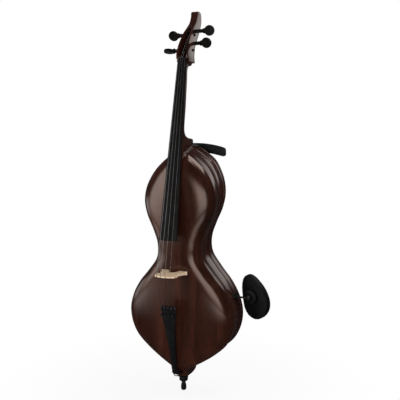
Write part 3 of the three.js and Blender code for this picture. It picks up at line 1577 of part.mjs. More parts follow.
// The pad's outline, as shares of its width and its length from its centre.
const knee_outline_shares = [
  [-0.27, 0.5],
  [-0.09, 0.46],
  [0.06, 0.38],
  [0.24, 0.26],
  [0.4, 0.09],
  [0.49, -0.1],
  [0.46, -0.28],
  [0.3, -0.43],
  [0.05, -0.5],
  [-0.2, -0.45],
  [-0.36, -0.33],
  [-0.44, -0.16],
  [-0.48, 0.03],
  [-0.5, 0.24],
  [-0.43, 0.42],
];
const knee_outline_sides = 28;
const knee_outline = new THREE.CatmullRomCurve3(
  knee_outline_shares.map(([across, up]) => vec(across * knee_pad_width, 0, up * knee_pad_length)),
  true,
  "centripetal",
)
  .getSpacedPoints(knee_outline_sides)
  .slice(0, knee_outline_sides);
const kneeRing = (scale, y) =>
  knee_outline.map((p) => inKnee(knee_pad_aside + p.x * scale, y, p.z * scale));
function alongArm(start_x, end_x, radius, sides) {
  return rod(knee_pivot.clone().setX(start_x), knee_pivot.clone().setX(end_x), radius, sides);
}
const arm_bore = alongArm(knee_arm_start, knee_pivot.x, knee_arm_radius + rest_gap, 16);
const rib_and_gap = ribs.add(moved(ribs, rest_gap, 0, 0));
const reachOf = (solid) => solid.boundingBox().max[0];
const outermost = (solid) => solid.decompose().sort((a, b) => reachOf(b) - reachOf(a))[0];
const knee_flange = alongArm(knee_socket_in, knee_socket_out, knee_socket_radius, 24).subtract(rib_and_gap);
const knee_socket = outermost(knee_flange)
  .add(alongArm(knee_spigot_start, knee_socket_out, knee_spigot_radius, 20))
  .subtract(arm_bore);
ribs = ribs.subtract(alongArm(knee_spigot_start, knee_pivot.x, knee_spigot_radius + rest_gap, 20));
const knee_nut_start = knee_spigot_start + knee_nut_inset;
const knee_nut_blank = alongArm(knee_nut_start, knee_nut_start + knee_nut_thickness, knee_nut_radius, 6);
const knee_inner_nut = knee_nut_blank.subtract(
  alongArm(knee_spigot_start - cut_overrun, knee_pivot.x, knee_spigot_radius + rest_gap, 20),
);
const knee_collet_blank = alongArm(knee_socket_out + rest_gap, knee_collet_out, knee_spigot_radius, 12);
const knee_collet = knee_collet_blank.subtract(arm_bore);
function kneeRod(start_y, end_y, radius, sides) {
  return rod(inKnee(0, start_y, 0), inKnee(0, end_y, 0), radius, sides);
}
const knee_arm = alongArm(knee_arm_start, knee_arm_end, knee_arm_radius, 16)
  .add(kneeRod(-knee_eye_half, knee_eye_half, knee_eye_radius, 24))
  .subtract(kneeRod(-knee_eye_radius, knee_eye_radius, knee_pin_radius + rest_gap, 16));
const knee_screw_profile = [
  [0, -knee_eye_half - knee_screw_head],
  [knee_eye_radius * 0.6, -knee_eye_half - knee_screw_head + knee_screw_dome],
  [knee_eye_radius * 0.78, -knee_eye_half - rest_gap],
  [knee_pin_radius, -knee_eye_half - rest_gap],
  [knee_pin_radius, knee_hub_end - knee_screw_short],
  [0, knee_hub_end - knee_screw_short],
];
const knee_screw = turned(knee_screw_profile, knee_pivot, knee_way, 20);
// The hub is ribbed round its edge like a thumb wheel.
const hub_sides = 16;
const hub_rib = 1.6;
const hub_round = 1.5;
const hub_points = [];
for (let i = 0; i < hub_sides * 2; i++) {
  const angle = (full_turn * i) / (hub_sides * 2);
  const radius = i % 2 ? knee_hub_radius : knee_hub_radius - hub_rib;
  hub_points.push([radius * Math.cos(angle), radius * Math.sin(angle)]);
}
const hubRing = (scale, y) => hub_points.map(([x, z]) => inKnee(x * scale, y, z * scale));
const hub_core = 0.86;
const knee_hub = loft([
  hubRing(hub_core, knee_hub_start),
  hubRing(1, knee_hub_start + hub_round),
  hubRing(1, knee_hub_end - hub_round),
  hubRing(hub_core, knee_hub_end),
]);
const dish = 1.2;
const knee_back_share = 0.955;
const knee_back = loft([
  kneeRing(knee_back_share, knee_hub_end - dish),
  kneeRing(1, knee_hub_end + dish),
  kneeRing(1, knee_plate_end),
]);
const knee_bore_end = knee_hub_end - knee_screw_short + rest_gap;
const knee_screw_bore = kneeRod(-knee_hub_start, knee_bore_end, knee_pin_radius + rest_gap, 16);
const knee_plate = knee_hub.add(knee_back).subtract(knee_screw_bore);
const pad_depth_shares = [
  [0.985, 0],
  [0.965, 0.3],
  [0.9, 0.66],
  [0.76, 0.86],
  [0.5, 0.96],
  [0.2, 1],
];
const knee_pad_start = knee_plate_end + rest_gap;
const knee_pad = loft(
  pad_depth_shares.map(([scale, deep]) => kneeRing(scale, knee_pad_start + deep * knee_pad_thickness)),
);

add("fingerboard", fingerboard(), "ebony");
add("neck", neck, "lacquer");
add("nut", nutBlock(), "ebony");
add("top_block", top_block, "spruce");
add("tail_block", tail_block, "lacquer");
add("front_plate", front_plate, "lacquer");
add("back_plate", back_plate, "lacquer");
add("ribs", ribs, "lacquer");
add("bridge", bridge, "maple");
add("pickup_bass", pickup(-1), "brass");
add("pickup_treble", pickup(1), "brass");
add("saddle", saddle, "ebony");
add("tailpiece", tailpiece, "ebony");
add("tuner_pin", tuner_pin, "steel");
add("tail_wire", tail_wire, "steel");
add("endpin_collar", endpin_collar, "black_metal");
add("endpin_screw", endpin_screw, "black_metal");
add("endpin_rod", endpin_rod, "steel");
add("endpin_tip", endpin_tip, "rubber");
string_names.forEach((name, i) => {
  add("string_" + name, strings[i], "steel");
  add("tuner_lever_" + name, tuner_levers[i].subtract(pin_bore), "black_metal");
  add("tuner_screw_" + name, tuner_screws[i], "black_metal");
  add("peg_" + name, pegs.find((p) => p.string === i).solid, "ebony");
});
add("chest_bracket", chest_bracket, "black_metal");
add("chest_bar", chest_bar, "plastic");
add("chest_pad", chest_pad, "foam");
add("chest_knob", chest_knob, "black_metal");
add("knee_socket", knee_socket, "steel");
add("knee_inner_nut", knee_inner_nut, "steel");
add("knee_collet", knee_collet, "black_metal");
add("knee_arm", knee_arm, "steel");
add("knee_screw", knee_screw, "steel");
add("knee_plate", knee_plate, "plastic");
add("knee_pad", knee_pad, "foam");
add("control_cover", control_cover, "black_metal");
control_names.forEach((name, i) => {
  add(name + "_pot", pots[i], "brass");
  add(name + "_knob", knobs[i], "plastic");
});
add("output_jack", output_jack, "steel");
add("jack_nut", jack_nut, "steel");
add("preamp_board", preamp_board, "board_green");
add("battery_tray", battery_tray, "plastic");
add("battery", battery, "steel");
add("battery_lid", battery_lid, "plastic");
add("lid_pin", lid_pin, "steel");
add("bracket_screw_left", bracket_screws[1], "steel");
add("bracket_screw_right", bracket_screws[0], "steel");

export default cello;
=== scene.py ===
# %% [markdown]
# An electric cello, dressed for its picture. The solids come from the CAD frame, in metres, with +Z
# up the body, the strings towards -Y and the endpin's tip at the origin. This file gives them their
# finishes. It also models anew what a camera would catch out: the lacquered shells, whose
# reflections show every flat, the carved neck and the soft pads.

import math

import bpy
import numpy as np
from mathutils import Matrix, Vector


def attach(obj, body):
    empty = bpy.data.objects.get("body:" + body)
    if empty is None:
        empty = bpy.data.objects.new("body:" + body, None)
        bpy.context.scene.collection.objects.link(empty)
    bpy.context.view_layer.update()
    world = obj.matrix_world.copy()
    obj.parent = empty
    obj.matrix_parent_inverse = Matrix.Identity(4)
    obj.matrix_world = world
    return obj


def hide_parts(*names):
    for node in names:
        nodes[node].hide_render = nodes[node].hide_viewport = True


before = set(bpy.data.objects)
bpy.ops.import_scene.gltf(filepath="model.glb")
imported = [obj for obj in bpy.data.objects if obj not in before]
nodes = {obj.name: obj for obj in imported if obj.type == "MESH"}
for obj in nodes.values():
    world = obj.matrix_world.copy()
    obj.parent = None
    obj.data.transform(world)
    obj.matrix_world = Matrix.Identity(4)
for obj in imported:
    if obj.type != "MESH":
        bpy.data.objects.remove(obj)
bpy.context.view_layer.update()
MM = 0.001

# %% [markdown]
# An operator works on everything that is selected, and the import leaves the solids selected. So
# every piece starts by letting go of all of them, and ends as a plain mesh whose object sits at the
# origin.

# %% Selection and small helpers
scene = bpy.context.scene


def let_go():
    if bpy.context.object and bpy.context.object.mode != "OBJECT":
        bpy.ops.object.mode_set(mode="OBJECT")
    bpy.ops.object.select_all(action="DESELECT")


def pick(piece):
    let_go()
    piece.select_set(True)
    bpy.context.view_layer.objects.active = piece


def smooth(piece, angle):
    pick(piece)
    bpy.ops.object.shade_smooth_by_angle(angle=math.radians(angle))
    let_go()


def settle(piece):
    pick(piece)
    bpy.ops.object.transform_apply(location=True, rotation=True, scale=True)
    let_go()


def use_modifier(piece, kind, **settings):
    modifier = piece.modifiers.new(kind.title(), kind)
    for key, value in settings.items():
        setattr(modifier, key, value)
    pick(piece)
    bpy.ops.object.modifier_apply(modifier=modifier.name)
    let_go()


def soften_edges(piece, width, segments, angle):
    limit = math.radians(angle)
    rounding = {"width": width, "segments": segments, "limit_method": "ANGLE", "angle_limit": limit}
    use_modifier(piece, "BEVEL", **rounding)


print("helpers ready")

# %% [markdown]
# Every new form here is made in one way. A flat grid primitive has as many corners as the form
# needs. Each corner is moved to its place on the form, the sides of the grid that meet are sewn
# together, and the faces are turned outwards. A lathe or a sweep would give the same points only
# for a form that is round or the same all along.

# %% Wrapping a grid
meeting = 0.00002
sliver = 0.000005


def flat_grid(name, rows, around):
    """A grid primitive, with the row of each corner and its share of the way round."""
    let_go()
    bpy.ops.mesh.primitive_grid_add(x_subdivisions=rows, y_subdivisions=around, size=1)
    grid = bpy.context.object
    grid.name = grid.data.name = name
    corners = np.empty(len(grid.data.vertices) * 3)
    grid.data.vertices.foreach_get("co", corners)
    corners = corners.reshape(-1, 3) + 0.5
    return grid, np.rint(corners[:, 0] * rows).astype(int), corners[:, 1]


def sew(piece, places, capped):
    """Move the corners to their places, join those that meet, and turn the faces outwards."""
    piece.data.vertices.foreach_set("co", places.astype(np.float32).ravel())
    bpy.ops.object.mode_set(mode="EDIT")
    bpy.ops.mesh.select_all(action="SELECT")
    bpy.ops.mesh.remove_doubles(threshold=meeting)
    if capped:
        bpy.ops.mesh.select_all(action="SELECT")
        bpy.ops.mesh.fill_holes(sides=0)
    else:
        bpy.ops.mesh.dissolve_degenerate(threshold=sliver)
    bpy.ops.mesh.select_all(action="SELECT")
    bpy.ops.mesh.normals_make_consistent(inside=False)
    let_go()


print("corners closer than", round(meeting / MM, 3), "mm are joined")

# %% [markdown]
# The shells are drawn from the same few rows of numbers that a maker would lift off a template: how
# wide the body is at shares of its length. A smooth curve through those rows gives as many points
# as the gloss needs.

# %% The template curve
fine_steps = 40


def smooth_curve(rows, count):
    """Evenly spaced points on a smooth curve through the rows, closed at neither end."""
    p = np.array(rows, float)
    p = np.vstack([2 * p[0] - p[1], p, 2 * p[-1] - p[-2]])
    fine = []
    for i in range(1, len(p) - 2):
        p0, p1, p2, p3 = p[i - 1 : i + 3]
        pairs = ((p0, p1), (p1, p2), (p2, p3))
        d0, d1, d2 = (max(np.linalg.norm(b - a), 1e-9) ** 0.5 for a, b in pairs)
        t1 = ((p1 - p0) / d0 - (p2 - p0) / (d0 + d1) + (p2 - p1) / d1) * d1
        t2 = ((p2 - p1) / d1 - (p3 - p1) / (d1 + d2) + (p3 - p2) / d2) * d1
        t = np.linspace(0, 1, fine_steps, endpoint=False)[:, None]
        square_term = (3 * p2 - 3 * p1 - 2 * t1 - t2) * t**2
        cube_term = (2 * p1 - 2 * p2 + t1 + t2) * t**3
        fine.append(p1 + t1 * t + square_term + cube_term)
    fine = np.vstack(fine + [p[-2][None]])
    run = np.concatenate([[0], np.cumsum(np.linalg.norm(np.diff(fine, axis=0), axis=1))])
    even = np.linspace(0, run[-1], count + 1)
    return np.stack([np.interp(even, run, fine[:, k]) for k in range(fine.shape[1])], axis=1)


body_bottom, body_length, half_width = 62 * MM, 728 * MM, 182 * MM
outline_steps = 120
# Each row is a share of the length, from the tail up, and the share of half the width at that height.
outline_shares = [
    (0.0, 0.0), (0.02, 0.13), (0.063, 0.407), (0.111, 0.657), (0.166, 0.867), (0.228, 0.977), (0.29, 1.0),
    (0.352, 0.934), (0.413, 0.793), (0.475, 0.58), (0.537, 0.405), (0.599, 0.394), (0.661, 0.487),
    (0.723, 0.607), (0.784, 0.663), (0.846, 0.629), (0.908, 0.505), (0.958, 0.33), (0.99, 0.16), (1.0, 0.0),
]
outline_rows = [(out * half_width, up * body_length) for up, out in outline_shares]
half_outline = smooth_curve(outline_rows, outline_steps)
half_outline[:, 0] = np.clip(half_outline[:, 0], 0, None)
half_outline[[0, -1], 0] = 0
rim = np.vstack([half_outline, half_outline[-2:0:-1] * [-1, 1]])
rim_run = np.linspace(0, 1, len(rim) + 1)
print("rim points:", len(rim), "widest:", round(rim[:, 0].max() * 2, 3))

# %% [markdown]
# The back is longer than the front. At the shoulders it is swept up behind the neck, and at the
# tail it rises above the block. So a ring round the body at any depth is the rim, drawn in, and
# then swept upwards. The front shell swells a little past the back's outline, and its face dips
# where the fingerboard passes over it.

# %% Rings round the body
ribs_front, ribs_back, seam = -30 * MM, 71 * MM, 14 * MM
spine_low, spine_high = 0.24, 0.82
shoulder_sweep, shoulder_hold, hold_from = 44 * MM, 19 * MM, 0.9
tail_rise, tail_reach = 20 * MM, 0.16
swell, swell_depth, swell_ends = 8 * MM, 30 * MM, 0.22
dip, dip_front, dip_depth, dip_from = 9 * MM, -14 * MM, 37 * MM, 0.8


def eased(value):
    value = np.clip(value, 0, 1)
    return value * value * (3 - 2 * value)


def swept(z, y):
    up = np.clip((z - body_bottom) / body_length, 0, 1)
    deep = np.clip((y - ribs_front) / (ribs_back - ribs_front), 0, 1)
    shoulder = shoulder_sweep * up**2 - shoulder_hold * eased((up - hold_from) / (1 - hold_from))
    return deep * (shoulder + tail_rise * np.maximum(0, 1 - up / tail_reach) ** 2)


def swollen(up, y):
    along_body = eased(up / swell_ends) * eased((1 - up) / swell_ends)
    return swell * along_body * np.clip((seam - y) / swell_depth, 0, 1)


def dipped(z, y):
    up_shoulders = eased((z - body_bottom - dip_from * body_length) / ((1 - dip_from) * body_length))
    return dip * up_shoulders * np.clip((dip_front - y) / dip_depth, 0, 1)


def body_ring(turn, inset, share, y):
    """Points on rings round the body: turn goes round the rim, and the rest say how deep they lie."""
    closed = np.vstack([rim, rim[:1]])
    x = np.interp(turn, rim_run, closed[:, 0])
    up = np.interp(turn, rim_run, closed[:, 1])
    spine = (spine_low + (spine_high - spine_low) * up / body_length) * body_length
    away = np.hypot(x, up - spine)
    pull = 1 - (1 - (inset - swollen(up / body_length, y)) / away) * (1 - share)
    x, z = x * (1 - pull), body_bottom + up + (spine - up) * pull
    return np.stack([x, y + dipped(z, y), z + swept(z, y)], axis=-1)


around_body = 240


def wrapped_shell(name, section):
    """A closed shell whose section, a list of insets, shares and depths, is carried round the body."""
    shell, row, turn = flat_grid(name, len(section) - 1, around_body)
    sew(shell, body_ring(turn, *np.array(section)[row].T), capped=False)
    return shell


print("ring at the widest:", body_ring(np.array([0.15]), 0, 0, 0.0).round(3).tolist())

# %% [markdown]
# The front is one deep shell, carved or moulded as one piece on the real thing. It is almost flat
# under the strings and turns back towards the sides ever faster, in one sweep, so a lamp's
# reflection runs over it without a break. The section runs from the crown out over the roll to the
# seam, and back inside by the thickness of the wall. A curve rounder than a circle, of the kind
# called a superellipse, gives that flat middle and fast turn.

# %% Front shell
side_end, crown_y, front_wall = 3 * MM, -55.8 * MM, 5.5 * MM
outer_steps, inner_steps = 56, 16
bunching, flatness, depth_root = 2.4, 4, 3


def crown_rows(inset, steps):
    """Rows from the rim to the middle line, closest together where the front turns fastest."""
    share = np.linspace(0, 1, steps + 1) ** bunching
    y = side_end + (crown_y - side_end) * (1 - (1 - share) ** flatness) ** (1 / depth_root)
    return [(inset, s, depth + inset) for s, depth in zip(share, y)]


rounded_lip = [
    (0, 0, 8 * MM), (0, 0, seam - 1.5 * MM), (0.4 * MM, 0, seam - 0.4 * MM), (1.5 * MM, 0, seam),
]
outside, inside = crown_rows(0, outer_steps)[::-1], crown_rows(front_wall, inner_steps)
front_shell = wrapped_shell("front_shell", outside + rounded_lip + [(front_wall, 0, seam)] + inside)
print("front shell faces:", len(front_shell.data.polygons))

# %% [markdown]
# The carved back has a raised edge bead, a shallow channel inside it, and an arch that swells to
# the crown. All of its depths are in millimetres behind the plane of the edge, and the inside
# follows the outside at 8 mm.

# %% Back
edge_y = 79
arch_fall, arch_inset = 2.7, 18
hollow_inset, plate_thick = 13, 8


def arch(share, height):
    return height * (1 - (1 - share) ** arch_fall)


arching = [(arch_inset, s, arch(s, 15)) for s in np.linspace(1, 0, 22)]
# Inset from the rim, and rise above the plane of the edge.
bead_points = [
    (18, 0), (14.5, -1.2), (11, -1.6), (8, -0.6), (5, 0.6), (2.6, 0.55), (1.2, 0), (0.3, -1.2), (0, -2.6),
]
edge_bead = [(inset, 0, rise) for inset, rise in smooth_curve(bead_points, 26)]
underside = [(0, 0, -5), (0.15, 0, -7.3), (0.8, 0, -8), (6, 0, -8), (hollow_inset, 0, -8)]
hollow = [(hollow_inset, s, arch(s, 17.5) - plate_thick) for s in np.linspace(0.06, 1, 12)]
back_rows = arching[:-1] + edge_bead + underside + hollow
back = wrapped_shell("back", [(inset * MM, s, (edge_y + rise) * MM) for inset, s, rise in back_rows])
print("back faces:", len(back.data.polygons))

# %% [markdown]
# Two openings are cut through the back: one for the controls, one for the battery box. A maker
# routs them and hides their edges under a cover and a flange, so a plain block is enough of a
# cutter.

# %% Openings in the back
def block(name, centre, size):
    let_go()
    bpy.ops.mesh.primitive_cube_add(size=1, location=centre, scale=size)
    cube = bpy.context.object
    cube.name = cube.data.name = name
    settle(cube)
    return cube


def cut_with(piece, cutter):
    use_modifier(piece, "BOOLEAN", operation="DIFFERENCE", object=cutter, solver="EXACT")
    bpy.data.objects.remove(cutter)


# Where each cutter's middle is and how large it is, in metres.
cut_with(back, block("tray_cutter", (0, 0.09, 0.21), (0.0548, 0.06, 0.0328)))
cut_with(back, block("cavity_cutter", (0, 0.09, 0.3), (0.1, 0.06, 0.04)))
print("back after cutting:", len(back.data.polygons))

# %% [markdown]
# The ribs are thin sides bent round the body. Here they are one wall from the seam to the back,
# hollowed a little between its edges, with a bead part way that catches a line of light.

# %% Ribs
bead, rib_front, rib_end, rib_inside = 48, 14.3, 70.7, 8
# Inset from the rim, and depth, in millimetres.
before_bead = [(3, rib_front), (1.8, 30), (2.4, 41), (3, bead - 2.8)]
over_bead = [(3, bead - 2.8), (1.5, bead - 1.3), (1, bead), (1.5, bead + 1.3), (3, bead + 2.8)]
after_bead = [(3, bead + 2.8), (1.8, 61), (3, rib_end)]
rib_outer = smooth_curve(before_bead, 14).tolist()
for stretch in (over_bead, after_bead):
    rib_outer += smooth_curve(stretch, 10).tolist()[1:]
rib_inner = [(rib_inside, rib_end), (rib_inside, 42), (rib_inside, rib_front), (3, rib_front)]
rib_wall = wrapped_shell("rib_wall", [(inset * MM, 0, y * MM) for inset, y in rib_outer + rib_inner])
print("rib faces:", len(rib_wall.data.polygons))

# %% [markdown]
# The tail block comes through the ribs and the front at the bottom, so both are let out for it.
# After that the three shells are whole. They ride on the body and stand in for its three plain
# solids.

# %% Tail opening and shading
for shell in (rib_wall, front_shell):
    cut_with(shell, block("tail_cutter", (0, 0.0087, 0.1), (0.0506, 0.0772, 0.1006)))
for shell, solid in ((front_shell, "front_plate"), (back, "back_plate"), (rib_wall, "ribs")):
    smooth(shell, 32)
    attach(shell, "body")
    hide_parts(solid)
print("shells ride on the body")

# %% [markdown]
# The neck leans back so that the strings rise evenly from the nut to the bridge. All of its places
# are easiest to give along the strings and across them, in millimetres, and then to turn into
# heights and depths. The fingerboard's lower face, which the neck is glued to, is worked out from
# the board's round and its thickness.

# %% The neck's frame
nut_height, nut_depth = 1088, 3
bridge_height, bridge_depth = 412.998, -140
string_lean = math.atan2(nut_depth - bridge_depth, nut_height - bridge_height)
along, across_strings = math.cos(string_lean), math.sin(string_lean)
board_radius, board_edge, glue_line = 62, 5.5, 0.3
board_half_top, board_half_end = 15.5, 31
string_gap_top, string_gap_end = 1.6, 6
board_start, board_run = 4, 572


def in_neck(y, z):
    """A place in the neck's own frame, as its height and its depth in the shared one, in millimetres."""
    return nut_height + z * along - y * across_strings, nut_depth + y * along + z * across_strings


def neck_z(height):
    return (height - nut_height) / along


def arc_depth(half):
    return board_radius - math.sqrt(board_radius**2 - half**2)


def board_share(z):
    return min(1, max(0, (-z - board_start) / board_run))


def board_half(z):
    return board_half_top + (board_half_end - board_half_top) * board_share(z)


def neck_front(z):
    """Where the neck begins under the board, measured down from the strings."""
    share = board_share(z)
    at_top = string_gap_top + arc_depth(board_half_top) + board_edge
    at_end = string_gap_end + arc_depth(board_half_end) + board_edge
    return at_top * (1 - share) + at_end * share + glue_line


print("lean of the strings in degrees:", round(math.degrees(string_lean), 2))

# %% [markdown]
# The neck, its heel and its pegbox are carved from one length of wood, so one run of rings draws
# them all. Each ring is a flat front with a rounded back, squarer in the pegbox than in the hand. A
# row gives the height and depth of the front edge, those of the back, half the width, and a power
# for the corners: 1 is an ellipse, and the nearer it comes to 0, the squarer the ring.

# %% Rings of the neck
# The rows hold the power ten times larger, so that it counts when the curve spaces its points evenly.
power_scale = 10


def wrapped_rings(name, rings):
    """A closed solid through a run of rings, capped at both ends."""
    points = len(rings[0])
    piece, row, turn = flat_grid(name, len(rings) - 1, points)
    column = np.rint(turn * points).astype(int) % points
    sew(piece, np.array(rings)[row, column] * MM, capped=True)
    return piece


def flat_ring(row, sides=26):
    front, back, half, power = np.array(row[:2]), np.array(row[2:4]), row[4], row[5] / power_scale
    turn = np.linspace(0, math.pi, sides)
    x = half * np.sign(np.cos(turn)) * np.abs(np.cos(turn)) ** power
    deep = np.sin(turn)[:, None].clip(0) ** power
    height, depth = (front + (back - front) * deep).T
    return np.stack([x, depth, height], axis=1)


print("corners in a ring of the neck:", len(flat_ring((0, 0, 0, 1, 1, 7))))

# %% [markdown]
# At the bottom the heel's back ends in a round knob that stands off the shoulders. The neck then
# thins into the hand's grip, and under the nut it swells into the pegbox, whose foot hooks back.
# The head leans back, curves forwards again at its top and narrows all the way. Its rows are shares
# of its length, up and back from the nut.

# %% Neck and head
head_length, head_half = 158, 21
neck_steps = 240
# Height where the front is met, then height and depth of the back, and half the width.
heel_backs = [
    (770, 768, 66, 16), (800, 800, 70, 17), (822, 822, 72, 17), (833, 830, 70.5, 17), (839, 834, 63, 17),
    (843, 835.5, 48, 17.5), (848, 837.5, 28, 18.3), (855, 842.5, 10, 19.2),
]
heel_power, grip_power, head_power = 0.7, 0.75, 0.24
# The grip runs from just past the nut down to a height of 868, 17 deep at its top and 22 at its foot.
grip_top, grip_bottom, grip_thin, grip_taper = 2, 868, 17, 5
grip_shares = (1.0, 0.65, 0.3, 0.13)
# How far up and back the front is, the same for the back, half the width, and the corners' power.
throat = [
    (-0.095, 0.072, -0.150, 0.190, 0.79, 0.66), (-0.085, 0.066, -0.142, 0.240, 0.80, 0.58),
    (-0.078, 0.062, -0.126, 0.300, 0.81, 0.50), (-0.072, 0.058, -0.104, 0.318, 0.82, 0.44),
    (-0.066, 0.054, -0.086, 0.300, 0.88, 0.34), (-0.060, 0.048, -0.078, 0.322, 0.95, 0.28),
    (-0.054, 0.044, -0.073, 0.380, 0.99, 0.24), (-0.020, 0.032, -0.036, 0.384, 1.0, 0.24),
]
head_shares = [
    (0.0506, 0.0190, 0.0216, 0.372, 1.0), (0.1646, 0.0475, 0.1482, 0.392, 0.9524),
    (0.2848, 0.0949, 0.2938, 0.458, 0.881), (0.4051, 0.1772, 0.4204, 0.562, 0.8095),
    (0.5253, 0.2722, 0.5596, 0.675, 0.7381), (0.6456, 0.4051, 0.6989, 0.768, 0.6429),
    (0.7658, 0.5316, 0.8115, 0.815, 0.5714), (0.8861, 0.5949, 0.9191, 0.808, 0.5714),
    (0.985, 0.6240, 0.980, 0.762, 0.5952), (1.0, 0.640, 0.9960, 0.742, 0.52),
]


def head_row(front_up, front_back, back_up, back_back, half, power=head_power):
    shares = (front_up, front_back, back_up, back_back)
    starts = (nut_height, nut_depth, nut_height, nut_depth)
    places = [share * head_length + start for share, start in zip(shares, starts)]
    return (*places, half * head_half, power * power_scale)


neck_rows = []
for height, back_height, back_depth, half in heel_backs:
    z = neck_z(height)
    front_edge = in_neck(neck_front(z), z)
    neck_rows.append((*front_edge, back_height, back_depth, half, heel_power * power_scale))
for share in grip_shares:
    z = grip_top + (neck_z(grip_bottom) - grip_top) * share
    front, half = neck_front(z), min(board_half(z), head_half)
    grip_back = in_neck(front + grip_thin + grip_taper * share, z)
    neck_rows.append((*in_neck(front, z), *grip_back, half, grip_power * power_scale))
neck_rows += [head_row(*row) for row in throat + head_shares]
carved = wrapped_rings("carved_neck", [flat_ring(row) for row in smooth_curve(neck_rows, neck_steps)])
print("neck faces before cutting:", len(carved.data.polygons))

# %% [markdown]
# The pegbox is open at its front, where the strings go in to their pegs. A maker chisels it out
# after the outside is shaped, and here a second run of rings, narrower by the walls, is taken out
# in the same way. It starts well in front of the wood so that the cut is clean.

# %% Pegbox
cheek, foot_reach, foot_narrow, cut_ahead = 5.5, 0.2, 2.75, 14
cavity_power, cavity_sides = 0.2, 18


def open_row(front_up, front_back, back_up, back_back, half, reach=0.86, narrow=0):
    row = np.array(head_row(front_up, front_back, back_up, back_back, half, cavity_power))
    front, deep = row[:2].copy(), row[2:4] - row[:2]
    row[:2] = front - cut_ahead * deep / np.linalg.norm(deep)
    row[2:4] = front + reach * deep
    row[4] -= cheek + narrow
    return row


open_rows = [open_row(0.0101, 0.019, 0.0101, 0.3425, 1.0)]
open_rows += [open_row(*row) for row in head_shares[:5]]
open_rows.append(open_row(*head_shares[5], reach=foot_reach, narrow=foot_narrow))
cut_with(carved, wrapped_rings("pegbox_cavity", [flat_ring(row, cavity_sides) for row in open_rows]))
print("neck faces with the pegbox open:", len(carved.data.polygons))

# %% [markdown]
# The board and the nut lie on a flat that is planed off the front of the neck. The edges are then
# broken with a small round, as sandpaper leaves them before the lacquer goes on.

# %% The planed face
plane_reach = 62
past_nut, board_begins, board_ends = 2.1, -4, -576
plane_rings = []
for z in (past_nut, board_begins, board_ends):
    corners = ((-1, -plane_reach), (1, -plane_reach), (1, neck_front(z)), (-1, neck_front(z)))
    plane_rings.append([(side * plane_reach, *in_neck(y, z)[::-1]) for side, y in corners])
cut_with(carved, wrapped_rings("plane_cutter", plane_rings))
soften_edges(carved, 0.0009, 3, 42)
smooth(carved, 40)
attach(carved, "body")
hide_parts("neck")
print("neck faces:", len(carved.data.polygons))

# %% [markdown]
# Inside, a block of spruce ties the heel to the shells. It is sawn square and let in over the
# heel's width.

# %% Top block
heel_block = block("heel_block", (0, 0.020, 0.731), (0.062, 0.092, 0.062))
cut_with(heel_block, block("mortise_cutter", (0, 0.0, 0.78), (0.0346, 0.17, 0.06)))
soften_edges(heel_block, 0.002, 2, 40)
smooth(heel_block, 40)
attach(heel_block, "body")
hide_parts("top_block")
print("heel block faces:", len(heel_block.data.polygons))

# %% [markdown]
# The chest rest is a strip of skinned foam on the bent bar, which the player leans against. It is
# crowned, with a rounded rim, and flat only where it lies on the bar. Rings along the strip bend
# with the bar, and shrink over its last few millimetres to round the ends.

# %% Chest pad
pad_half_long, pad_half_tall, pad_thick, pad_base = 102, 15, 17, 3.3
pad_height, pad_depth, pad_droop, pad_bend = 803.5, 106, 15.5, 6
pad_points, pad_power, pad_steps = 22, 0.42, 60
# The rows are spaced at roughly their real size, so that the points are even on the pad itself.
pad_size = [100, 15, 17]


def chest_ring(share, tall, deep):
    turn = np.linspace(0, math.pi, pad_points)
    up = pad_half_tall * tall * np.sign(np.cos(turn)) * np.abs(np.cos(turn)) ** pad_power
    out = pad_base + pad_thick * deep * np.sin(turn).clip(0) ** pad_power
    y, z = pad_depth + pad_bend * share**2, pad_height - pad_droop * share**2
    return np.stack([np.full(pad_points, pad_half_long * share), y + out, z + up], axis=1)


# Share of half the length, and how much of the height and of the thickness is left there.
pad_end = [
    (1.0, 0.30, 0.22), (0.997, 0.52, 0.44), (0.985, 0.74, 0.68), (0.955, 0.9, 0.86), (0.87, 0.97, 0.96),
]
pad_rows = [(-share, tall, deep) for share, tall, deep in pad_end]
pad_rows += [(-0.45, 0.99, 1), (0, 1, 1), (0.45, 0.99, 1)] + pad_end[::-1]
pad_rows = smooth_curve(np.array(pad_rows) * pad_size, pad_steps) / pad_size
chest_foam = wrapped_rings("chest_foam", [chest_ring(*row) for row in pad_rows])
print("chest pad faces:", len(chest_foam.data.polygons))

# %% [markdown]
# The knee rest is a bean of the same foam, moulded on a plate. Its outline is drawn as a closed
# curve, and rings of that outline, shrinking as they rise, give the rounded rim and the nearly flat
# face.

# %% Knee pad
knee_outline = [
    (-0.27, 0.5), (-0.09, 0.46), (0.06, 0.38), (0.24, 0.26), (0.4, 0.09), (0.49, -0.1),
    (0.46, -0.28), (0.3, -0.43), (0.05, -0.5), (-0.2, -0.45), (-0.36, -0.33), (-0.44, -0.16),
    (-0.48, 0.03), (-0.5, 0.24), (-0.43, 0.42),
]
knee_wide, knee_tall, bean_points = 98, 144, 96
# The outline is run through three times and the middle turn is kept, so that it closes smoothly.
three_turns = smooth_curve(np.array(knee_outline * 3) * [knee_wide, knee_tall], 3 * bean_points)
bean = three_turns[bean_points : 2 * bean_points]
knee_centre, knee_turn = (214, 40, 327), math.radians(-11.5)
bean_off, plate_front = 13.5, 21.3
# Each row is the outline's size in percent and the height above the plate.
knee_profile = smooth_curve(
    [(93, 0), (97, 2), (99.4, 7), (98.5, 13), (94, 18.5), (84, 22.3), (66, 23.6), (40, 24), (12, 24)], 30
)


def knee_ring(percent, deep):
    x, y = bean_off + bean[:, 0] * percent / 100, np.full(len(bean), plate_front + deep)
    across = knee_centre[0] + x * math.cos(knee_turn) - y * math.sin(knee_turn)
    behind = knee_centre[1] + x * math.sin(knee_turn) + y * math.cos(knee_turn)
    return np.stack([across, behind, knee_centre[2] + bean[:, 1] * percent / 100], axis=1)


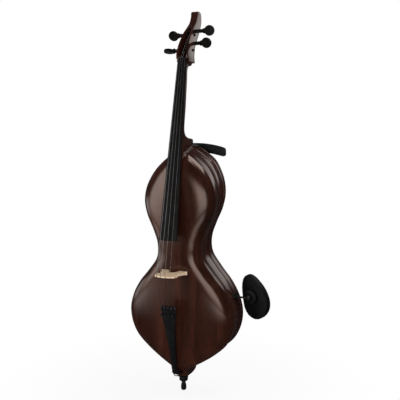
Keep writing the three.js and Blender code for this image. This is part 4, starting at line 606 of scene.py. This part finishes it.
knee_foam = wrapped_rings("knee_foam", [knee_ring(*row) for row in knee_profile])
pads = ((chest_foam, "chest_rest", "chest_pad"), (knee_foam, "knee_rest", "knee_pad"))
for foam_piece, body, solid in pads:
    smooth(foam_piece, 50)
    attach(foam_piece, body)
    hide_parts(solid)
print("knee pad faces:", len(knee_foam.data.polygons))

# %% [markdown]
# ## Finishes
# Grain and wear turn up in more than one finish, so each is a node group with its own inputs. A
# group gives out colours, masks and heights only. The shader itself stays in the material, where
# the export reads it.

# %% Node helpers
def new_group(name, inputs, outputs):
    group = bpy.data.node_groups.new(name, "ShaderNodeTree")
    for label, kind, default in inputs:
        socket = group.interface.new_socket(label, in_out="INPUT", socket_type=kind)
        if default is not None:
            socket.default_value = default
    for label, kind in outputs:
        group.interface.new_socket(label, in_out="OUTPUT", socket_type=kind)
    return group, group.nodes.new("NodeGroupInput"), group.nodes.new("NodeGroupOutput")


def link(tree, start, end):
    tree.links.new(start, end)


def math_node(tree, operation, a, b=None):
    node = tree.nodes.new("ShaderNodeMath")
    node.operation = operation
    for socket, value in zip(node.inputs, (a, b)):
        if value is None:
            continue
        if isinstance(value, (int, float)):
            socket.default_value = value
        else:
            link(tree, value, socket)
    return node.outputs[0]


def range_node(tree, value, from_min, from_max, soft=False):
    """A Map Range node, which by itself runs from 0 to 1."""
    node = tree.nodes.new("ShaderNodeMapRange")
    if soft:
        node.interpolation_type = "SMOOTHSTEP"
    node.inputs["From Min"].default_value = from_min
    node.inputs["From Max"].default_value = from_max
    link(tree, value, node.inputs["Value"])
    return node


def noise_node(tree, place, detail):
    node = tree.nodes.new("ShaderNodeTexNoise")
    node.inputs["Detail"].default_value = detail
    link(tree, place, node.inputs["Vector"])
    return node


def ramp(tree, value, stops):
    node = tree.nodes.new("ShaderNodeValToRGB")
    elements = node.color_ramp.elements
    while len(elements) < len(stops):
        elements.new(0.5)
    for element, (place, colour) in zip(elements, stops):
        element.position = place
        element.color = (*colour, 1)
    link(tree, value, node.inputs[0])
    return node.outputs[0]


print("node helpers ready")

# %% [markdown]
# Wood grain is noise drawn out along the timber. Long streaks give the colour, and a finer set the
# pores.

# %% Grain
pores_per_streak = 9.0
grain, grain_in, grain_out = new_group(
    "long grain",
    [
        ("Place", "NodeSocketVector", None),
        ("Streaks", "NodeSocketFloat", 90.0),
        ("Stretch", "NodeSocketFloat", 0.06),
    ],
    [("Streak", "NodeSocketFloat"), ("Pore", "NodeSocketFloat")],
)
drawn = grain.nodes.new("ShaderNodeCombineXYZ")
for axis in (0, 1):
    drawn.inputs[axis].default_value = 1
link(grain, grain_in.outputs["Stretch"], drawn.inputs[2])
scaled = grain.nodes.new("ShaderNodeVectorMath")
scaled.operation = "MULTIPLY"
link(grain, grain_in.outputs["Place"], scaled.inputs[0])
link(grain, drawn.outputs[0], scaled.inputs[1])
streak_noise = noise_node(grain, scaled.outputs[0], 5)
streak_noise.inputs["Distortion"].default_value = 0.4
link(grain, grain_in.outputs["Streaks"], streak_noise.inputs["Scale"])
pore_noise = noise_node(grain, scaled.outputs[0], 3)
pore_scale = math_node(grain, "MULTIPLY", grain_in.outputs["Streaks"], pores_per_streak)
link(grain, pore_scale, pore_noise.inputs["Scale"])
link(grain, streak_noise.outputs[0], grain_out.inputs["Streak"])
link(grain, pore_noise.outputs[0], grain_out.inputs["Pore"])
print("grain nodes:", len(grain.nodes))

# %% [markdown]
# Everything that is handled gets faint smears: broad, soft changes in gloss, never in shape.

# %% Smears
smears, smears_in, smears_out = new_group(
    "handling smears",
    [
        ("Place", "NodeSocketVector", None),
        ("Low", "NodeSocketFloat", 0.1),
        ("High", "NodeSocketFloat", 0.2),
        ("Size", "NodeSocketFloat", 18.0),
    ],
    [("Roughness", "NodeSocketFloat"), ("Mask", "NodeSocketFloat")],
)
smear_noise = noise_node(smears, smears_in.outputs["Place"], 6)
smear_noise.inputs["Roughness"].default_value = 0.62
link(smears, smears_in.outputs["Size"], smear_noise.inputs["Scale"])
smear_range = range_node(smears, smear_noise.outputs[0], 0.35, 0.7)
link(smears, smears_in.outputs["Low"], smear_range.inputs["To Min"])
link(smears, smears_in.outputs["High"], smear_range.inputs["To Max"])
link(smears, smear_range.outputs[0], smears_out.inputs["Roughness"])
link(smears, smear_noise.outputs[0], smears_out.inputs["Mask"])
print("smear nodes:", len(smears.nodes))

# %% [markdown]
# Each finish below starts from the same few nodes: the place on the object, a Principled shader and
# its output. The place is the object's own, so the grain stays on a piece when it moves.

# %% Starting a finish
def new_finish(name):
    material = bpy.data.materials.new(name)
    material.use_nodes = True
    tree = material.node_tree
    shader = tree.nodes["Principled BSDF"]
    place = tree.nodes.new("ShaderNodeTexCoord").outputs["Object"]
    return material, tree, shader, place


def group_node(tree, group, place, **values):
    node = tree.nodes.new("ShaderNodeGroup")
    node.node_tree = group
    link(tree, place, node.inputs["Place"])
    for label, value in values.items():
        node.inputs[label].default_value = value
    return node


def bump(tree, height, distance, strength):
    node = tree.nodes.new("ShaderNodeBump")
    node.inputs["Strength"].default_value = strength
    node.inputs["Distance"].default_value = distance
    link(tree, height, node.inputs["Height"])
    return node.outputs[0]


print("finishes can start")

# %% [markdown]
# The lacquer is a dark red-brown stain under a clear coat. The stain lets the grain through as
# slightly warmer streaks. The coat on top mirrors the lamps sharply, and the film under it, tinted
# by the stain, spreads them.

# %% Lacquer
lacquer, tree, shader, place = new_finish("lacquer")
lacquer_wood = group_node(tree, grain, place, Streaks=26.0, Stretch=0.16)
dark, middling, warm = (0.015, 0.0042, 0.0026), (0.031, 0.0088, 0.0054), (0.055, 0.0170, 0.0096)
stain = ramp(tree, lacquer_wood.outputs["Streak"], [(0.30, dark), (0.52, middling), (0.74, warm)])
link(tree, stain, shader.inputs["Base Color"])
film = group_node(tree, smears, place, Low=0.13, High=0.26, Size=9.0)
link(tree, film.outputs["Roughness"], shader.inputs["Roughness"])
shader.inputs["Specular IOR Level"].default_value = 0.5
shader.inputs["Specular Tint"].default_value = (1, 0.66, 0.50, 1)
shader.inputs["Coat Weight"].default_value = 0.45
shader.inputs["Coat Roughness"].default_value = 0.04
shader.inputs["Coat IOR"].default_value = 1.5
print("lacquer nodes:", len(tree.nodes))

# %% [markdown]
# Ebony is almost black, with fine brown streaks and open pores, rubbed to a low shine. The spruce
# inside and the maple of the bridge are bare wood, pale and matt. All three are the same nodes with
# other numbers.

# %% Ebony, spruce and maple
def wood_finish(name, colours, streaks, stretch, low, high, pore_depth, gloss=0.4):
    material, tree, shader, place = new_finish(name)
    wood = group_node(tree, grain, place, Streaks=streaks, Stretch=stretch)
    colour = ramp(tree, wood.outputs["Streak"], list(zip((0.3, 0.5, 0.72), colours)))
    link(tree, colour, shader.inputs["Base Color"])
    rub = group_node(tree, smears, place, Low=low, High=high, Size=22.0)
    link(tree, rub.outputs["Roughness"], shader.inputs["Roughness"])
    link(tree, bump(tree, wood.outputs["Pore"], pore_depth, 0.5), shader.inputs["Normal"])
    shader.inputs["Specular IOR Level"].default_value = gloss
    return material


ebony_colours = (0.0025, 0.0022, 0.002), (0.0045, 0.004, 0.0036), (0.009, 0.0078, 0.0065)
spruce_colours = (0.45, 0.28, 0.14), (0.62, 0.43, 0.24), (0.72, 0.54, 0.33)
maple_colours = (0.62, 0.42, 0.26), (0.80, 0.60, 0.41), (0.88, 0.68, 0.50)
ebony = wood_finish("ebony", ebony_colours, 150.0, 0.05, 0.36, 0.52, 0.0001, gloss=0.08)
spruce = wood_finish("spruce", spruce_colours, 120.0, 0.03, 0.5, 0.7, 0.0002)
maple = wood_finish("maple", maple_colours, 200.0, 0.25, 0.38, 0.55, 0.0001)
print("woods:", ebony.name, spruce.name, maple.name)

# %% [markdown]
# Metals and mouldings differ in colour and in how broad their highlight is. A little noise in the
# roughness keeps even a plain black part from looking like a cut-out, and a fine grit in the normal
# gives mouldings their skin.

# %% Metals, plastics and rubber
handled_size, grit_scale = 40.0, 2600


def plain_finish(name, colour, metal, low, high, grit_depth=0.0, gloss=0.5):
    material, tree, shader, place = new_finish(name)
    rub = group_node(tree, smears, place, Low=low, High=high, Size=handled_size)
    shade = tuple(c * 0.8 for c in colour)
    worn = ramp(tree, rub.outputs["Mask"], [(0.35, shade), (0.65, colour)])
    link(tree, worn, shader.inputs["Base Color"])
    link(tree, rub.outputs["Roughness"], shader.inputs["Roughness"])
    shader.inputs["Metallic"].default_value = metal
    shader.inputs["Specular IOR Level"].default_value = gloss
    if grit_depth:
        grit = noise_node(tree, place, 2)
        grit.inputs["Scale"].default_value = grit_scale
        link(tree, bump(tree, grit.outputs[0], grit_depth, 0.6), shader.inputs["Normal"])
    return material


steel = plain_finish("drawn steel", (0.50, 0.50, 0.51), 1, 0.26, 0.38)
chrome = plain_finish("bright plate", (0.72, 0.72, 0.73), 1, 0.08, 0.16)
brass = plain_finish("brass", (0.58, 0.42, 0.18), 1, 0.22, 0.36)
dark_steel = plain_finish("blackened steel", (0.09, 0.09, 0.095), 1, 0.28, 0.4)
can = plain_finish("battery can", (0.32, 0.32, 0.34), 1, 0.35, 0.5)
circuit = plain_finish("circuit board", (0.02, 0.10, 0.05), 0, 0.3, 0.45)
black_metal = plain_finish("black metal", (0.007, 0.007, 0.008), 0, 0.30, 0.42, gloss=0.4)
composite = plain_finish("tailpiece composite", (0.006, 0.0065, 0.0062), 0, 0.34, 0.46, 0.00006, 0.3)
plastic = plain_finish("black moulding", (0.004, 0.004, 0.0045), 0, 0.36, 0.5, 0.00008, 0.22)
rubber = plain_finish("rubber", (0.006, 0.006, 0.006), 0, 0.55, 0.75, 0.0001, 0.2)
foam = plain_finish("skinned foam", (0.004, 0.004, 0.0045), 0, 0.55, 0.7, 0.00025, 0.2)
print("finishes so far:", len(bpy.data.materials))

# %% [markdown]
# A wound string is a core with flat tape round it, which shows as fine rings along its length. A
# sine wave up the string gives the height of those rings, at about 0.7 mm from one to the next, and
# their colour, darker in the grooves between the turns as a painted shade.

# %% Wound string
radians_per_metre = 9000.0
wound, tree, shader, place = new_finish("wound string")
split = tree.nodes.new("ShaderNodeSeparateXYZ")
link(tree, place, split.inputs[0])
wave = math_node(tree, "SINE", math_node(tree, "MULTIPLY", split.outputs["Z"], radians_per_metre))
# The ring colour is painted shade: dark where the wave is low, in the grooves between the turns, and
# lighter on their crests.
groove_shade_stops = [(0.0, (0.13, 0.13, 0.13)), (1.0, (0.30, 0.30, 0.30))]
tape_and_groove_shade = ramp(tree, math_node(tree, "MULTIPLY_ADD", wave, 0.5), groove_shade_stops)
link(tree, tape_and_groove_shade, shader.inputs["Base Color"])
shader.inputs["Metallic"].default_value = 1
shader.inputs["Roughness"].default_value = 0.34
link(tree, bump(tree, wave, 0.00003, 0.5), shader.inputs["Normal"])
print("string rings ready")

# %% [markdown]
# ## Dressing the solids
# Every solid gets the finish of what it is made of. The four strings, with their fine tuners and
# pegs, are named by the note that each string sounds.

# %% Finishes by node
finish_of = {
    "neck": lacquer, "tail_block": lacquer, "front_plate": lacquer, "back_plate": lacquer, "ribs": lacquer,
    "fingerboard": ebony, "nut": ebony, "saddle": ebony, "top_block": spruce, "bridge": maple,
    "pickup_bass": brass, "pickup_treble": brass,
    "tailpiece": composite, "tuner_pin": steel, "tail_wire": dark_steel,
    "endpin_collar": black_metal, "endpin_screw": black_metal, "endpin_rod": steel, "endpin_tip": rubber,
    "chest_bracket": black_metal, "chest_bar": plastic, "chest_pad": foam, "chest_knob": black_metal,
    "bracket_screw_left": steel, "bracket_screw_right": steel,
    "knee_socket": black_metal, "knee_inner_nut": black_metal, "knee_collet": black_metal,
    "knee_arm": dark_steel, "knee_screw": dark_steel, "knee_plate": plastic, "knee_pad": foam,
    "control_cover": black_metal, "volume_pot": brass, "tone_pot": brass,
    "volume_knob": plastic, "tone_knob": plastic,
    "output_jack": chrome, "jack_nut": chrome, "preamp_board": circuit,
    "battery_tray": plastic, "battery": can, "battery_lid": plastic, "lid_pin": steel,
}
for note in ("c", "g", "d", "a"):
    finish_of["string_" + note] = wound
    finish_of["tuner_lever_" + note] = black_metal
    finish_of["tuner_screw_" + note] = black_metal
    finish_of["peg_" + note] = ebony
print("finishes given out:", len(finish_of))

# %% [markdown]
# The solids are loose triangles with hard edges. Welded, rounded along their edges and shaded
# smooth, they lose the look of a drawing, and no face moves by more than a fraction of a
# millimetre. A wire has no edges to round.

# %% Soft edges
wires = {"string_c", "string_g", "string_d", "string_a", "tail_wire"}
large_parts = ("neck", "tail_block", "fingerboard", "chest_bar", "tailpiece")
large_round, small_round = 0.0005, 0.0003


def dress(piece, finish):
    piece.data.materials.clear()
    piece.data.materials.append(finish)


for name, solid in nodes.items():
    dress(solid, finish_of[name])
    solid.data.shade_smooth()
    weld = solid.modifiers.new("Weld", "WELD")
    weld.merge_threshold = 0.00001
    if name not in wires:
        soften = solid.modifiers.new("Soften", "BEVEL")
        soften.width = large_round if name in large_parts else small_round
        soften.segments = 2
        soften.limit_method = "ANGLE"
        soften.angle_limit = math.radians(38)
        soften.use_clamp_overlap = True
    even = solid.modifiers.new("Even", "WEIGHTED_NORMAL")
    even.weight = 60
for piece in (front_shell, back, rib_wall, carved):
    dress(piece, lacquer)
for piece in (chest_foam, knee_foam):
    dress(piece, foam)
dress(heel_block, spruce)
print("dressed:", len(nodes))

# %% [markdown]
# ## The studio
# Lacquer shows whatever surrounds it, so the lamps are shapes as much as lights. The room is white
# to the camera and nearly black in the gloss, as dark cloth round the set would make it. Otherwise
# the stain would look grey.

# %% What each kind of ray sees
def sorted_rays(tree, lit, seen, share, mirrored):
    """What is lit, or an even white for the camera's own rays, or what a reflection is to show."""
    rays = tree.nodes.new("ShaderNodeLightPath")
    mix_seen, mix_mirrored = (tree.nodes.new("ShaderNodeMixShader") for _ in range(2))
    link(tree, math_node(tree, "MULTIPLY", rays.outputs["Is Camera Ray"], share), mix_seen.inputs[0])
    link(tree, lit, mix_seen.inputs[1])
    link(tree, seen, mix_seen.inputs[2])
    link(tree, rays.outputs["Is Glossy Ray"], mix_mirrored.inputs[0])
    link(tree, mix_seen.outputs[0], mix_mirrored.inputs[1])
    link(tree, mirrored, mix_mirrored.inputs[2])
    return mix_mirrored.outputs[0]


def glow(tree, kind, strength):
    light = tree.nodes.new(kind)
    light.inputs["Color"].default_value = (1, 1, 1, 1)
    light.inputs["Strength"].default_value = strength
    return light.outputs[0]


print("rays can be sorted")

# %% [markdown]
# The floor is a sheet of white paper. To the camera it is an even white, with a tenth of the paper's
# own light mixed in near the endpin, which keeps a faint shadow. The gloss sees a dark floor with
# three soft pools of light, which draw the long reflections low down on the body.

# %% Floor
let_go()
bpy.ops.mesh.primitive_plane_add(size=30, location=(0, 0, -0.002))
floor = bpy.context.object
floor.name = "floor"
settle(floor)
paper, tree, shader, place = new_finish("white paper")
shader.inputs["Base Color"].default_value = (0.80, 0.80, 0.80, 1)
shader.inputs["Roughness"].default_value = 0.9
shader.inputs["Specular IOR Level"].default_value = 0
far = tree.nodes.new("ShaderNodeVectorMath")
far.operation = "LENGTH"
link(tree, place, far.inputs[0])
shadow_near, shadow_far, near_share = 0.2, 0.7, 0.9
away = range_node(tree, far.outputs["Value"], shadow_near, shadow_far)
away.inputs["To Min"].default_value = near_share
white, mirrored = glow(tree, "ShaderNodeEmission", 1.0), glow(tree, "ShaderNodeEmission", 1.0)
pool_radius, dark_floor = 1.0, 0.03
pools = [((-1.35, -1.0, 0), 1.7), ((0.5, -1.55, 0), 1.9), ((-1.4, 1.4, 0), 0.9)]
level = dark_floor
for centre, strength in pools:
    off = tree.nodes.new("ShaderNodeVectorMath")
    off.operation = "DISTANCE"
    link(tree, place, off.inputs[0])
    off.inputs[1].default_value = centre
    pool = range_node(tree, off.outputs["Value"], pool_radius, 0, soft=True)
    pool.inputs["To Max"].default_value = strength
    level = math_node(tree, "ADD", pool.outputs[0], level)
link(tree, level, mirrored.node.inputs["Strength"])
paper_view = sorted_rays(tree, shader.outputs[0], white, away.outputs[0], mirrored)
link(tree, paper_view, tree.nodes["Material Output"].inputs["Surface"])
floor.data.materials.append(paper)
print("floor laid, pools in its gloss:", len(pools))

# %% [markdown]
# The air round the set gives a little even light. The camera sees it as white, and the gloss as
# dark cloth.

# %% World
world = bpy.data.worlds.new("studio")
scene.world = world
world.use_nodes = True
tree = world.node_tree
tree.nodes.remove(tree.nodes["Background"])
air, white, cloth = (glow(tree, "ShaderNodeBackground", strength) for strength in (0.35, 1.0, 0.04))
link(tree, sorted_rays(tree, air, white, 1.0, cloth), tree.nodes["World Output"].inputs["Surface"])
print("world nodes:", len(tree.nodes))

# %% [markdown]
# Five panels stand round the cello, and each is brightest in its middle and fades towards its
# edges, as cloth before a lamp does. The left and front ones draw the broad streaks on the flanks,
# the low one the rim of light at the lower left, the back one the pegbox's cheek, and the rear one
# lights the back. A softbox above gives the shadow on the floor.

# %% Panels and lamp
def facing(place, target):
    return (Vector(target) - Vector(place)).to_track_quat("-Z", "Y").to_euler()


def panel(name, place, target, width, height, strength, fade):
    """A lit panel that fades to nothing at its edges, and that no camera sees."""
    let_go()
    bpy.ops.mesh.primitive_plane_add(size=1, location=place, rotation=facing(place, target))
    sheet = bpy.context.object
    sheet.name = name
    sheet.scale = (width, height, 1)
    settle(sheet)
    material, tree, shader, _ = new_finish(name)
    tree.nodes.remove(shader)
    across = tree.nodes.new("ShaderNodeSeparateXYZ")
    link(tree, tree.nodes.new("ShaderNodeTexCoord").outputs["UV"], across.inputs[0])
    level = strength
    for axis in ("X", "Y"):
        off = math_node(tree, "ABSOLUTE", math_node(tree, "SUBTRACT", across.outputs[axis], 0.5))
        edge = range_node(tree, off, 0.5, 0.5 - fade, soft=True)
        level = math_node(tree, "MULTIPLY", edge.outputs[0], level)
    kinds = ("ShaderNodeEmission", "ShaderNodeBsdfTransparent", "ShaderNodeAddShader")
    light, gauze, both = (tree.nodes.new(kind) for kind in kinds)
    link(tree, level, light.inputs["Strength"])
    link(tree, light.outputs[0], both.inputs[0])
    link(tree, gauze.outputs[0], both.inputs[1])
    link(tree, both.outputs[0], tree.nodes["Material Output"].inputs["Surface"])
    sheet.data.materials.append(material)
    sheet.visible_camera = False


# Where each panel stands, what it faces, its width and height, its strength, and how soft its edges are.
panels = [
    ("left panel", (-1.81, -1.87, 1.05), (0, 0, 1.05), 1.9, 2.6, 3.0, 0.28),
    ("front panel", (0.72, -2.5, 0.9), (0, 0, 0.9), 2.6, 2.3, 2.9, 0.32),
    ("low panel", (-2.2, -0.5, 0.3), (0, 0, 0.35), 1.9, 0.9, 1.6, 0.4),
    ("back panel", (1.13, 2.23, 2.0), (0, 0, 1.0), 1.6, 2.5, 1.4, 0.3),
    ("rear panel", (-1.5, 2.3, 1.2), (0, 0, 1.0), 1.8, 2.4, 1.3, 0.4),
]
for row in panels:
    panel(*row)

softbox_place = (0.9, 0.3, 2.9)
let_go()
bpy.ops.object.light_add(type="AREA", location=softbox_place)
softbox = bpy.context.object
softbox.name = "top softbox"
softbox.rotation_euler = facing(softbox_place, (0, 0, 0.6))
softbox.data.shape = "RECTANGLE"
softbox.data.size, softbox.data.size_y = 1.6, 1.2
softbox.data.energy = 25
print("panels:", len(panels), "and one softbox")

# %% [markdown]
# The camera stands where the photographer stood: a little above the bridge, 25 degrees round to the
# player's left, with a moderate telephoto lens. The numbers come from fitting the body's outline,
# and the focal length is given as it was fitted, in pixels of a picture 400 pixels wide.

# %% Camera
focal_pixels, picture_width = 679, 400
turns = ((25.3, "Z"), (83.1, "X"), (-0.28, "Z"))
turned, tipped, rolled = (Matrix.Rotation(math.radians(angle), 3, axis) for angle, axis in turns)
lens = bpy.data.cameras.new("camera")
camera = bpy.data.objects.new("camera", lens)
scene.collection.objects.link(camera)
camera.location = (0.984, -1.947, 0.902)
camera.rotation_euler = (turned @ tipped @ rolled).to_euler()
lens.sensor_width = 36
lens.lens = focal_pixels / picture_width * 36
lens.clip_start = 0.01
scene.camera = camera
scene.view_settings.view_transform = "Standard"
print("lens in mm:", round(lens.lens, 1))
